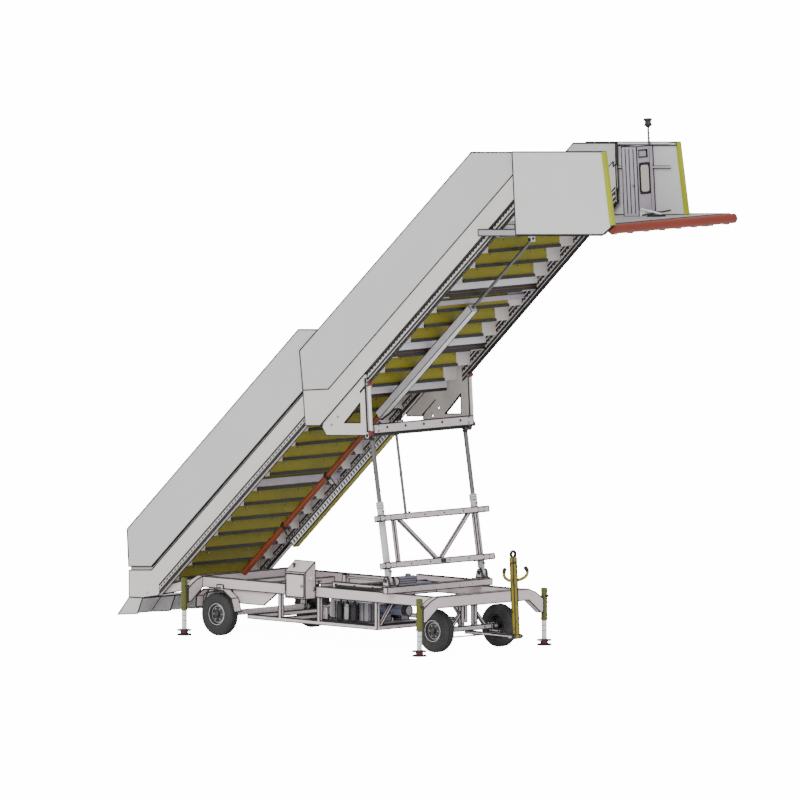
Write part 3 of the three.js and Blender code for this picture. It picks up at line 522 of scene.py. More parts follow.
def make_finishes():
    c = colours()
    FINISHES.update(
        frame=painted("frame_paint", tuple(c.frame)),
        axle=painted("axle_paint", tuple(c.axle), 0.5, 0.25),
        panel=painted("panel_paint", tuple(c.panel), 0.5, 0.06, 0.75),
        guard=painted("guard_paint", tuple(c.guard), 0.5, 0.06, 0.75),
        stringer=painted("stringer_paint", tuple(c.stringer), 0.5, 0.06, 0.72),
        step=painted("riser_paint", tuple(c.step), 0.55, 0.30, 0.70, 0.2),
        cylinder=painted("cylinder_paint", tuple(c.cylinder), 0.3, 0.10),
        orange=painted("orange_paint", tuple(c.orange), 0.35, 0.25),
        towbar=painted("towbar_paint", tuple(c.towbar), 0.4, 0.25),
        jack=painted("jack_paint", tuple(c.jack), 0.4, 0.2),
        blue=painted("pack_paint", tuple(c.blue), 0.35, 0.2),
        mauve=painted("cabinet_paint", tuple(c.mauve), 0.42, 0.08),
        edging=rubber("edging_rubber", tuple(c.edging), 0.6),
        bumper=painted("bumper_rubber", (0.20, 0.016, 0.0), 0.38, 0.2, 0.7),
        tyre=rubber("tyre_rubber", (0.030, 0.030, 0.031), 0.8),
        black=rubber("black_rubber", (0.010, 0.010, 0.011), 0.6, 0.0),
        tread=stud_plate("tread_plate", (0.10, 0.10, 0.10)),
        deck=stud_plate("deck_plate", (0.40, 0.40, 0.41), 0.3),
        chrome=steel("rod_chrome", (0.62, 0.62, 0.64), 0.16),
        zinc=steel("zinc_steel", (0.38, 0.38, 0.37), 0.34, (1, 1, 1)),
        dark=painted("dark_paint", (0.010, 0.010, 0.013), 0.5, 0.3, 0.3),
        foot=painted("foot_paint", tuple(c.foot), 0.4, 0.2),
        rim=painted("rim_paint", (0.028, 0.027, 0.030), 0.35, 0.3, 0.3),
        pack=painted("pack_grey", (0.34, 0.33, 0.355), 0.45, 0.35, 0.7),
        line=rubber("seal_rubber", (0.004, 0.004, 0.005), 0.7, 0.0),
        white=painted("gloss_white", (0.78, 0.77, 0.80), 0.3, 0.08, 0.6),
        rod=steel("rod_steel", (0.17, 0.17, 0.175), 0.35, (1, 1, 30)),
        red=lens("button_red", (0.35, 0.006, 0.010)),
        clear=lens("clear_lens", (0.75, 0.77, 0.80)),
        mauve_grey=painted("mauve_grey", (0.21, 0.20, 0.27), 0.4, 0.2, 0.8),
        lamp=lens("lamp_lens", (0.62, 0.56, 0.50)),
        amber_dark=lens("beacon_lens", (0.022, 0.014, 0.010)),
        glass=lens("smoked_glass", (0.42, 0.40, 0.46)),
    )


# ------------------------------------------------------------------ the camera, lights and floor
class STAIR_OT_stage(bpy.types.Operator):
    """Floor, soft light and camera"""
    bl_idname = "stair.stage"
    bl_label = "Stage"

    def execute(self, context):
        scene = context.scene
        line = np.array([-FLOOR_HALF, FLOOR_HALF])
        x, y = np.meshgrid(line, line, indexing="ij")
        mesh = bpy.data.meshes.new("floor")
        mesh.from_pydata(np.stack([x, y, np.zeros_like(x)], -1).reshape(-1, 3).tolist(), [], [(0, 2, 3, 1)])
        floor = bpy.data.objects.new("floor", mesh)
        scene.collection.objects.link(floor)
        n = Nodes("pale_floor")
        tone = n.blend(n.noise(0.6, 3), (0.86, 0.86, 0.86), (0.90, 0.90, 0.90))
        lit = n.math("MULTIPLY", n.add("ShaderNodeLightPath").outputs["Is Camera Ray"], 16.0)
        paint = n.done(tone, 0.75)
        n.feed(n.shader.inputs["Emission Color"], tone)
        n.feed(n.shader.inputs["Emission Strength"], lit)
        mesh.materials.append(paint)
        world = bpy.data.worlds.new("soft_room")
        world.use_nodes = True
        world.node_tree.nodes["Background"].inputs["Color"].default_value = (1.0, 1.0, 1.0, 1.0)
        tree = world.node_tree
        room = tree.nodes["Background"]
        seen = tree.nodes.new("ShaderNodeMapRange")
        tree.links.new(tree.nodes.new("ShaderNodeLightPath").outputs["Is Camera Ray"], seen.inputs["Value"])
        seen.inputs["To Min"].default_value = 0.95
        seen.inputs["To Max"].default_value = 20.0
        tree.links.new(seen.outputs["Result"], room.inputs["Strength"])
        scene.world = world
        for name, strength, tint, angle, direction in (
            ("key", 1.85, (1.0, 0.985, 0.935), 40, (-0.25, 1.0, -0.75)),
            ("fill", 0.42, (1.0, 0.82, 0.93), 60, (-1.0, 0.35, -0.25)),
        ):
            lamp = bpy.data.lights.new(name, "SUN")
            lamp.energy, lamp.color, lamp.angle = strength, tint, math.radians(angle)
            sun = bpy.data.objects.new(name, lamp)
            sun.rotation_mode = "QUATERNION"
            sun.rotation_quaternion = Vector(direction).to_track_quat("-Z", "Y")
            scene.collection.objects.link(sun)
        lens_data = bpy.data.cameras.new("view")
        lens_data.type = "ORTHO"
        lens_data.ortho_scale = 10.811
        lens_data.clip_end = 500.0
        camera = bpy.data.objects.new("view", lens_data)
        azimuth, elevation, reach = math.radians(45), math.radians(5.2), CAMERA_REACH
        back = np.array([math.sin(azimuth) * math.cos(elevation), -math.cos(azimuth) * math.cos(elevation),
                         math.sin(elevation)])
        camera.location = chassis(-1.563, 0.0, 3.303) + back * reach
        camera.rotation_mode = "QUATERNION"
        camera.rotation_quaternion = Vector(-back).to_track_quat("-Z", "Y")
        scene.collection.objects.link(camera)
        scene.camera = camera
        return {"FINISHED"}


PAINT_OF = {
    "frame": [
        "chassis_frame", "belly_frame", "console_box", "console_door", "sync_frame", "lift_crossbar",
        "carriage_frame", "right_mudguard", "left_mudguard", "battery_box"],
    "axle": ["rear_axle", "front_axle", "right_knuckle", "left_knuckle", "tie_rod", "drawbar"],
    "pack": ["power_pack"], "blue": ["carriage_ram_barrel"], "chrome": ["carriage_ram_rod", "lift_rods"],
    "cylinder": ["right_lift_barrel", "left_lift_barrel", "extension_ram_rod"],
    "step": ["lower_steps", "upper_steps", "hose_tray"],
    "panel": [
        "right_lower_panel", "left_lower_panel", "right_upper_panel", "left_upper_panel", "tail_ramp"],
    "guard": ["right_guard", "left_guard"], "deck": ["deck"],
    "stringer": [
        "right_lower_stringer", "left_lower_stringer", "right_upper_stringer", "left_upper_stringer"],
    "mauve": ["lamp_cabinet"], "orange": ["extension_ram_barrel"], "bumper": ["bumper"],
    "black": ["beacon"], "red": ["stop_button"], "towbar": ["towbar"],}


class STAIR_OT_paint(bpy.types.Operator):
    """Gives each frame node its own finish"""
    bl_idname = "stair.paint"
    bl_label = "Paint the frame nodes"

    def execute(self, context):
        make_finishes()
        paint_of = {node: finish for finish, nodes in PAINT_OF.items() for node in nodes}
        for name in frame["nodes"]:
            for ending, finish in (("_tyre", "tyre"), ("_rim", "frame"), ("_jack_housing", "jack"),
                                   ("_jack_leg", "cylinder")):
                if name.endswith(ending):
                    paint_of[name] = finish
            node = frame["nodes"][name]
            node.data.materials.clear()
            node.data.materials.append(FINISHES[paint_of[name]])
        return {"FINISHED"}


# ------------------------------------------------------------------ measures of the frame's nodes
BODY_OF = {node: body for body, nodes in frame["record"]["behaviour"]["bodies"].items() for node in nodes}


def corners_of(node):
    """Every corner of a frame node, in the scene."""
    piece = frame["nodes"][node]
    flat = np.empty(len(piece.data.vertices) * 3)
    piece.data.vertices.foreach_get("co", flat)
    turn = np.array(piece.matrix_world)
    return flat.reshape(-1, 3) @ turn[:3, :3].T + turn[:3, 3]


def in_stair(node):
    """The low and high corners of a node measured in the flights' own frame."""
    local = (corners_of(node) - PIVOT) @ np.stack([LEVEL, ACROSS, PLUMB], 1)
    return local.min(0), local.max(0)


def steps_of(flight):
    """The first nosing and the number of treads of a flight."""
    s = sizes()
    low, high = in_stair(f"{flight}_steps")
    if flight == "lower":
        return low[0], high[2] - (s.lower_treads - 1) * s.rise, s.lower_treads
    return low[0], in_stair("deck")[1][2] - s.upper_treads * s.rise, s.upper_treads


def seams(node, radius, least=35.0, name=None):
    """Sealing bead: a square bead lies along each edge where the node's faces turn by more than
    the least angle. Edges are found by pairing the two triangles on each pair of corners."""
    mesh = frame["nodes"][node].data
    mesh.calc_loop_triangles()
    tris = np.empty(len(mesh.loop_triangles) * 3, np.int64)
    mesh.loop_triangles.foreach_get("vertices", tris)
    corners = corners_of(node)
    _, first, merged = np.unique(np.round(corners, 5), axis=0, return_index=True, return_inverse=True)
    tris = merged.reshape(-1)[tris].reshape(-1, 3)
    points = corners[first]
    normal = np.cross(points[tris[:, 1]] - points[tris[:, 0]], points[tris[:, 2]] - points[tris[:, 0]])
    normal /= np.maximum(np.linalg.norm(normal, axis=1), 1e-12)[:, None]
    pairs = np.sort(np.concatenate([tris[:, [0, 1]], tris[:, [1, 2]], tris[:, [2, 0]]]), axis=1)
    face = np.tile(np.arange(len(tris)), 3)
    edges, back, count = np.unique(pairs, axis=0, return_inverse=True, return_counts=True)
    order = np.argsort(back.reshape(-1), kind="stable")
    start = np.concatenate([[0], np.cumsum(count)[:-1]])
    paired = count == 2
    one, two = face[order[start[paired]]], face[order[start[paired] + 1]]
    sharp = (normal[one] * normal[two]).sum(1) < math.cos(math.radians(least))
    a, b = (points[edges[paired][sharp][:, k]] for k in (0, 1))
    run = b - a
    length = np.linalg.norm(run, axis=1)
    a, run, length = a[length > 0.012], run[length > 0.012], length[length > 0.012]
    run /= length[:, None]
    side = np.cross(run, np.array([0.37, 0.61, 0.70]))
    side /= np.linalg.norm(side, axis=1)[:, None]
    third = np.cross(run, side)
    ring = np.stack([side, third, -side, -third], 1) * radius
    ends = np.stack([a - run * radius * 0.5, a + run * (length + radius * 0.5)[:, None]], 1)
    grid = ends[:, :, None] + ring[:, None]
    base = np.arange(len(a))[:, None] * 8
    unit_faces = np.array(
        [[0, 1, 5, 4], [1, 2, 6, 5], [2, 3, 7, 6], [3, 0, 4, 7], [3, 2, 1, 0], [4, 5, 6, 7]])
    faces = (base[:, None] + unit_faces).reshape(-1, 4)
    mesh = bpy.data.meshes.new(name or f"{node}_seal")
    mesh.from_pydata(grid.reshape(-1, 3).tolist(), [], faces.tolist())
    mesh.materials.append(FINISHES["line"])
    piece = bpy.data.objects.new(name or f"{node}_seal", mesh)
    bpy.context.scene.collection.objects.link(piece)
    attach(piece, BODY_OF[node])
    return piece


class STAIR_OT_seals(bpy.types.Operator):
    """Dark sealing beads along the edges of the frame's plates and boxes"""
    bl_idname = "stair.seals"
    bl_label = "Edge seals"

    def execute(self, context):
        wide = {"right_lower_panel", "left_lower_panel", "right_upper_panel", "left_upper_panel",
                "right_guard", "left_guard"}
        replaced = ("_tyre", "_rim", "_jack_leg", "_jack_housing", "_steps", "_barrel", "_rod", "rods",
                    "bumper", "beacon", "towbar", "stop_button", "tray")
        for node in frame["nodes"]:
            if not node.endswith(replaced):
                seams(node, 0.0100 if node in wide else 0.0080)
        return {"FINISHED"}


class STAIR_OT_treads(bpy.types.Operator):
    """Risers, treads, nosings and cross tubes of both flights"""
    bl_idname = "stair.treads"
    bl_label = "Treads"

    def execute(self, context):
        s = sizes()
        for flight, body, tubes, bands, half in (
            ("lower", "lower_flight", (), (7,), 0.8692),
            ("upper", "upper_flight", (0, 3, 7), (6,), 0.9492),
        ):
            x0, z0, treads = steps_of(flight)
            plates, bars, strips = Surface(), Surface(), Surface()
            for k in range(treads):
                x, z = x0 + k * s.run, z0 + k * s.rise
                drop = 0.062 if k == 0 and flight == "lower" else (0.15 if k == 0 else s.rise)
                depth = 0.139 if (flight == "lower" and k == treads - 1) else s.run
                plates.block(
                    (x, -RISER_HALF, z - drop - 0.004), (x + 0.005, RISER_HALF, z - 0.005), stair, 0)
                for _, y in SIDES:
                    ends = sorted((y * RISER_HALF, y * half))
                    plates.block((x, ends[0], z - drop - 0.004), (x + 0.005, ends[1], z - 0.005), stair, 2)
                plates.block((x, -half, z - 0.005), (x + depth, half, z), stair, 1)
                strips.block(
                    (x - 0.004, -half + 0.01, z - 0.002), (x + 0.045, half - 0.01, z + 0.004), stair, 0)
                for rib in range(4):
                    at = x + 0.004 + rib * 0.010
                    strips.block(
                        (at, -half + 0.02, z + 0.003), (at + 0.004, half - 0.02, z + 0.006), stair, 1)
                # A near-black bar along the foot of each riser: painted shade, standing for the shadow cast by the
                # tread above onto the riser.
                if k:
                    low = z - s.rise
                    bars.block(
                        (x + 0.004, -RISER_HALF - 0.004, low - 0.004),
                        (x + 0.03, RISER_HALF + 0.004, low + 0.036), stair, 0)
                # Each cross tube is a white block over a near-black block: the white block is the tube's lit top,
                # a painted highlight, and the near-black block below is its painted shade underneath.
                if k in tubes:
                    bars.block(
                        (x + 0.008, -half + 0.004, z - 0.108), (x + 0.066, half - 0.004, z - 0.006),
                        stair, 1)
                    bars.block(
                        (x + 0.006, -half + 0.004, z - (0.190 if k else 0.145)),
                        (x + 0.05, half - 0.004, z - 0.108), stair, 0)
                    bars.block(
                        (x + 0.05, -half + 0.01, z - 0.150), (x + 0.052, half - 0.01, z - 0.143), stair,
                        3)
                if k in bands:
                    tall = 0.150 if flight == "lower" else 0.115
                    bars.block(
                        (x + 0.008, -half + 0.004, z - tall), (x + 0.060, half - 0.004, z - 0.05), stair,
                        2)
                for _, y in SIDES:
                    for inset in (0.03, 0.30):
                        plates.bolt(
                            stair(x + 0.005, y * (RISER_HALF - inset), z - 0.05), LEVEL, 0.02, 3,
                            washer=False)
            plates.finish(f"{flight}_treads", body,
                          [FINISHES["step"], FINISHES["tread"], FINISHES["stringer"], FINISHES["zinc"]],
                          "step_olive", [f"{flight}_steps"])
            bars.finish(f"{flight}_cross_bars", body,
                        [FINISHES["dark"], FINISHES["white"], FINISHES["mauve"], FINISHES["orange"]],
                        "frame_white", bevel=0.003)
            strips.finish(f"{flight}_nosings", body, [FINISHES["edging"], FINISHES["black"]], "edge_green")
        return {"FINISHED"}


class STAIR_OT_racks(bpy.types.Operator):
    """Guide rails with their chain links along the lower edges of the stringers"""
    bl_idname = "stair.racks"
    bl_label = "Rails and racks"

    def execute(self, context):
        slope = math.tan(PITCH)
        for side, y in SIDES:
            for flight, body in (("lower", "lower_flight"), ("upper", "upper_flight")):
                low, high = in_stair(f"{side}_{flight}_stringer")
                rack = Surface()
                if flight == "lower":
                    edge = lambda x: -0.068 + (x - 0.212) * slope + 0.034
                    start, stop, depth = 0.24, high[0] - 0.02, 0.098
                    faces = ((0.9405, 0.006), (0.8695, -0.006))
                else:
                    edge = lambda x: 2.264 - 0.175 + (x - 3.507) * 0.78136
                    start, stop, depth = 4.33, high[0] - 0.02, 0.178
                    faces = ((0.9625, 0.006), (0.9495, -0.006))
                for reach, out in faces:
                    near = y * reach
                    far = y * (reach + out)

                    def band(bottom, top, a, b, paint, grow=0.0):
                        ends = sorted((near, far + math.copysign(grow, far - near)))
                        outline = [
                            (a, edge(a) + bottom), (b, edge(b) + bottom), (b, edge(b) + top),
                            (a, edge(a) + top)]
                        rack.plate(
                            outline, lambda u, v: stair(u, ends[0], v), ACROSS * (ends[1] - ends[0]),
                            paint)

                    rise = depth / math.cos(PITCH)
                    band(0.0, rise, start, stop, 0)
                    rows = ((0.30, 0.42), (0.62, 0.72)) if flight == "lower" else (
                        (0.14, 0.22), (0.40, 0.52), (0.76, 0.86))
                    for a, b in rows:
                        band(rise * a, rise * b, start, stop, 1, 0.003)
                    pitch = 0.055
                    for at in np.arange(start + 0.02, stop - 0.03, pitch):
                        band(rise * 0.45, rise * 0.60, at, at + 0.022, 1, 0.004)
                rack.finish(
                    f"{side}_{flight}_rack", body, [FINISHES["dark"], FINISHES["stringer"]],
                    "stringer_beige")
        return {"FINISHED"}


class STAIR_OT_wheels(bpy.types.Operator):
    """Grooved tyres on bolted steel rims"""
    bl_idname = "stair.wheels"
    bl_label = "Wheels"

    def execute(self, context):
        for side, y in SIDES:
            for end in ("front", "rear"):
                name = f"{end}_{side}"
                low, high = (np.array(c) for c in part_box(f"{name}_tyre"))
                centre, radius, half = (low + high) / 2, (high[2] - low[2]) / 2, (high[1] - low[1]) / 2
                out = ACROSS * y
                tyre = Surface()
                r = radius
                profile = [(-0.060, 0.1503), (-half + 0.006, 0.165), (-half, 0.205), (-half + 0.002, 0.212),
                           (-half + 0.001, 0.219), (-half + 0.004, r - 0.035), (-half + 0.016, r - 0.014),
                           (-half + 0.034, r - 0.003)]
                for groove in (-0.034, 0.0, 0.034):
                    profile += [
                        (groove - 0.006, r), (groove - 0.005, r - 0.010), (groove + 0.005, r - 0.010),
                        (groove + 0.006, r)]
                profile += [(-a, b) for a, b in reversed(profile[:8])]
                tyre.loop(centre, out, profile, 72, 0)
                tyre.finish(f"{name}_tyre_detail", f"{name}_wheel", [FINISHES["tyre"]], "tyre_black",
                            [f"{name}_tyre"])
                rim = Surface()
                lip = [
                    (0.064, 0.1495), (0.070, 0.143), (0.066, 0.136), (0.045, 0.132), (0.026, 0.120),
                    (0.034, 0.082), (0.044, 0.060), (0.044, 0.024), (-0.050, 0.024), (-0.050, 0.045),
                    (0.010, 0.046), (0.016, 0.112), (-0.050, 0.130), (-0.064, 0.140), (-0.064, 0.1495)]
                rim.loop(centre, out, lip, 48, 1)
                rim.loop(
                    centre, out, [(0.0635, 0.1495), (0.0715, 0.1435), (0.0695, 0.1385), (0.0605, 0.1455)],
                    48, 0)
                rim.loop(
                    centre, out, [(0.030, 0.119), (0.036, 0.112), (0.038, 0.104), (0.030, 0.110)], 48, 3)
                rim.turned(
                    centre, out, [(0.044, 0.040), (0.070, 0.038), (0.076, 0.030), (0.078, 0.010)], 24, 1)
                rim.turned(centre, -out, [(0.048, 0.040), (0.054, 0.038)], 24, 1)
                for turn in np.linspace(0, 2 * math.pi, 6, endpoint=False):
                    spoke = np.array([math.cos(turn), 0, math.sin(turn)])
                    rim.bolt(centre + spoke * 0.078 + out * 0.033, out, 0.022, 2)
                    slot_at = np.array([math.cos(turn + 0.52), 0, math.sin(turn + 0.52)])
                    rim.turned(
                        centre + slot_at * 0.104 + out * 0.029, out, [(0, 0.013), (0.002, 0.013)], 16, 1,
                        False)
                rim.rod(
                    centre + [0.118, 0, 0] + out * 0.03, centre + [0.130, 0, 0] + out * 0.062, 0.004, 8,
                    1)
                rim.finish(f"{name}_rim_detail", f"{name}_wheel",
                           [FINISHES["white"], FINISHES["rim"], FINISHES["zinc"], FINISHES["cylinder"]],
                           "rim_white", [f"{name}_rim"])
        return {"FINISHED"}


class STAIR_OT_jacks(bpy.types.Operator):
    """Screw jacks: housings with crank heads, legs and round feet"""
    bl_idname = "stair.jacks"
    bl_label = "Jacks"

    def execute(self, context):
        for side, y in SIDES:
            for end in ("front", "rear"):
                name = f"{end}_{side}_jack"
                leg_box = [np.array(c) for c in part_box(f"{name}_leg")]
                foot = np.array([*((leg_box[0] + leg_box[1]) / 2)[:2], leg_box[0][2]])
                box = [np.array(c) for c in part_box(f"{name}_housing")]
                base, top = box[0][2], box[1][2]
                up = np.array([0.0, 0, 1])
                at = foot + up * (base - foot[2])
                tall = top - base
                body = Surface()
                body.loop(
                    at, up,
                    [
                        (0, 0.0368), (0, 0.0455), (0.006, 0.046), (0.03, 0.046), (0.032, 0.0435),
                        (tall - 0.05, 0.0435), (tall - 0.047, 0.046), (tall - 0.02, 0.046),
                        (tall - 0.02, 0.0368)],
                    32, 0)
                body.turned(at, up, [(tall - 0.021, 0.046), (tall - 0.006, 0.0455), (tall, 0.036)], 32, 0)
                body.turned(
                    at + up * (tall - 0.11), LEVEL, [(0.03, 0.018), (0.070, 0.018), (0.0775, 0.015)], 16,
                    1)
                body.turned(at + up * (tall - 0.11), -ACROSS * y, [(0.030, 0.020), (0.045, 0.020)], 16, 0)
                for turn in np.linspace(0, 2 * math.pi, 5, endpoint=False)[1:]:
                    spoke = np.array([math.cos(turn), math.sin(turn), 0])
                    body.bolt(at + spoke * 0.0445 + up * 0.016, spoke, 0.012, 2, washer=False)
                body.finish(
                    f"{name}_housing_detail", "chassis",
                    [FINISHES["jack"], FINISHES["dark"], FINISHES["zinc"]], "jack_green",
                    [f"{name}_housing"])
                leg = Surface()
                high = leg_box[1][2] - foot[2]
                leg.turned(foot, up, [(0.086, 0.035), (high, 0.035)], 32, 0)
                leg.turned(
                    foot, up,
                    [(0.062, 0.096), (0.066, 0.100), (0.078, 0.100), (0.082, 0.092), (0.0855, 0.058)], 40,
                    1)
                leg.turned(
                    foot, up, [(0.024, 0.070), (0.030, 0.052), (0.058, 0.052), (0.063, 0.070)], 32, 2)
                leg.turned(
                    foot, up,
                    [(0, 0.098), (0.004, 0.100), (0.018, 0.100), (0.024, 0.090), (0.027, 0.060)], 40, 1)
                for level in (0.20, 0.27, 0.34):
                    leg.turned(foot, up, [(level, 0.0353), (level + 0.004, 0.0353)], 32, 1)
                leg.finish(
                    f"{name}_leg_detail", name, [FINISHES["white"], FINISHES["black"], FINISHES["foot"]],
                    "jack_tube", [f"{name}_leg"])
        return {"FINISHED"}


class STAIR_OT_lift(bpy.types.Operator):
    """Lift cylinders, their rods, and the fittings of the frame that keeps them level"""
    bl_idname = "stair.lift"
    bl_label = "Lift"

    def execute(self, context):
        length = LIFT_LENGTH
        for side, y in SIDES:
            at = y * LIFT_SIDE
            barrel = Surface()
            barrel.loop(
                lift(0, at, 0), LIFT_UP,
                [
                    (0.062, 0.0388), (0.062, 0.047), (0.070, 0.050), (0.985, 0.050), (0.988, 0.0535),
                    (1.055, 0.0535), (1.070, 0.050), (1.070, 0.0388)],
                40, 0)
            barrel.turned(
                lift(0, y * 0.862, 0), ACROSS * y,
                [(0, 0.040), (0.003, 0.045), (0.053, 0.045), (0.056, 0.040)], 32, 0)
            barrel.block(
                (-0.028, min(y * 0.866, y * 0.914), 0.0), (0.028, max(y * 0.866, y * 0.914), 0.064), lift,
                0)
            for level in (0.986, 1.020, 1.054):
                barrel.turned(lift(0, at, level), LIFT_UP, [(0, 0.0538), (0.005, 0.0538)], 40, 1)
            barrel.turned(lift(0, at, 0.120), LIFT_AHEAD, [(0.045, 0.016), (0.075, 0.016)], 6, 2, False)
            barrel.turned(lift(0, at, 0.940), LIFT_AHEAD, [(0.045, 0.014), (0.066, 0.014)], 6, 2, False)
            barrel.finish(f"{side}_lift_barrel_detail", "lift_barrels",
                          [FINISHES["cylinder"], FINISHES["dark"], FINISHES["zinc"]], "barrel_grey",
                          [f"{side}_lift_barrel"])
        rods = Surface()
        for _, y in SIDES:
            at = y * LIFT_SIDE
            rods.rod(lift(0, at, length - 1.050), lift(0, at, length), 0.032, 32, 0)
            rods.turned(
                lift(0, y * 0.855, length), ACROSS * y,
                [(0, 0.034), (0.004, 0.037), (0.066, 0.037), (0.070, 0.034)], 32, 1)
            rods.turned(
                lift(0, at, length - 0.075), LIFT_UP,
                [(0, 0.030), (0.006, 0.036), (0.034, 0.036), (0.040, 0.030)], 32, 1)
        rods.rod(lift(0, -0.984, length), lift(0, 0.984, length), 0.022, 24, 1)
        rods.rod(lift(0, LIFT_DROP_ROD, 0.800), lift(0, LIFT_DROP_ROD, length), 0.021, 20, 0)
        rods.turned(
            lift(0, -0.450, length), ACROSS, [(0, 0.028), (0.003, 0.032), (0.057, 0.032), (0.06, 0.028)],
            24, 1)
        rods.finish(
            "lift_rod_detail", "lift_rods", [FINISHES["rod"], FINISHES["dark"], FINISHES["cylinder"]],
            "rod_steel", ["lift_rods"])
        fit = Surface()
        for level in (0.845, 0.200):
            for _, y in SIDES:
                fit.turned(
                    lift(0.100, y * 1.0405, level), ACROSS * y,
                    [(0, 0.034), (0.004, 0.036), (0.007, 0.030)], 24, 0)
                fit.turned(
                    lift(0.100, y * 1.0405, level), ACROSS * y, [(0.004, 0.018), (0.0085, 0.016)], 20, 1)
                for up in (-0.026, 0.026):
                    fit.bolt(lift(0.126, y * 0.945, level + up), LIFT_AHEAD, 0.018, 1)
                    fit.bolt(lift(0.126, y * 0.835, level + up), LIFT_AHEAD, 0.018, 1)
            for y in np.linspace(-0.55, 0.55, 4):
                fit.turned(lift(0.126, y, level), LIFT_AHEAD, [(0, 0.012), (0.003, 0.011)], 12, 0)
        fit.block((0.122, 0.02, 0.175), (0.142, 0.10, 0.225), lift, 0)
        fit.turned(lift(0.07, -0.42, 0.890), LIFT_UP, [(0, 0.018), (0.02, 0.018)], 16, 0)
        fit.finish(
            "sync_frame_fittings", "lift_barrels", [FINISHES["dark"], FINISHES["zinc"]], "bolt_steel")
        return {"FINISHED"}


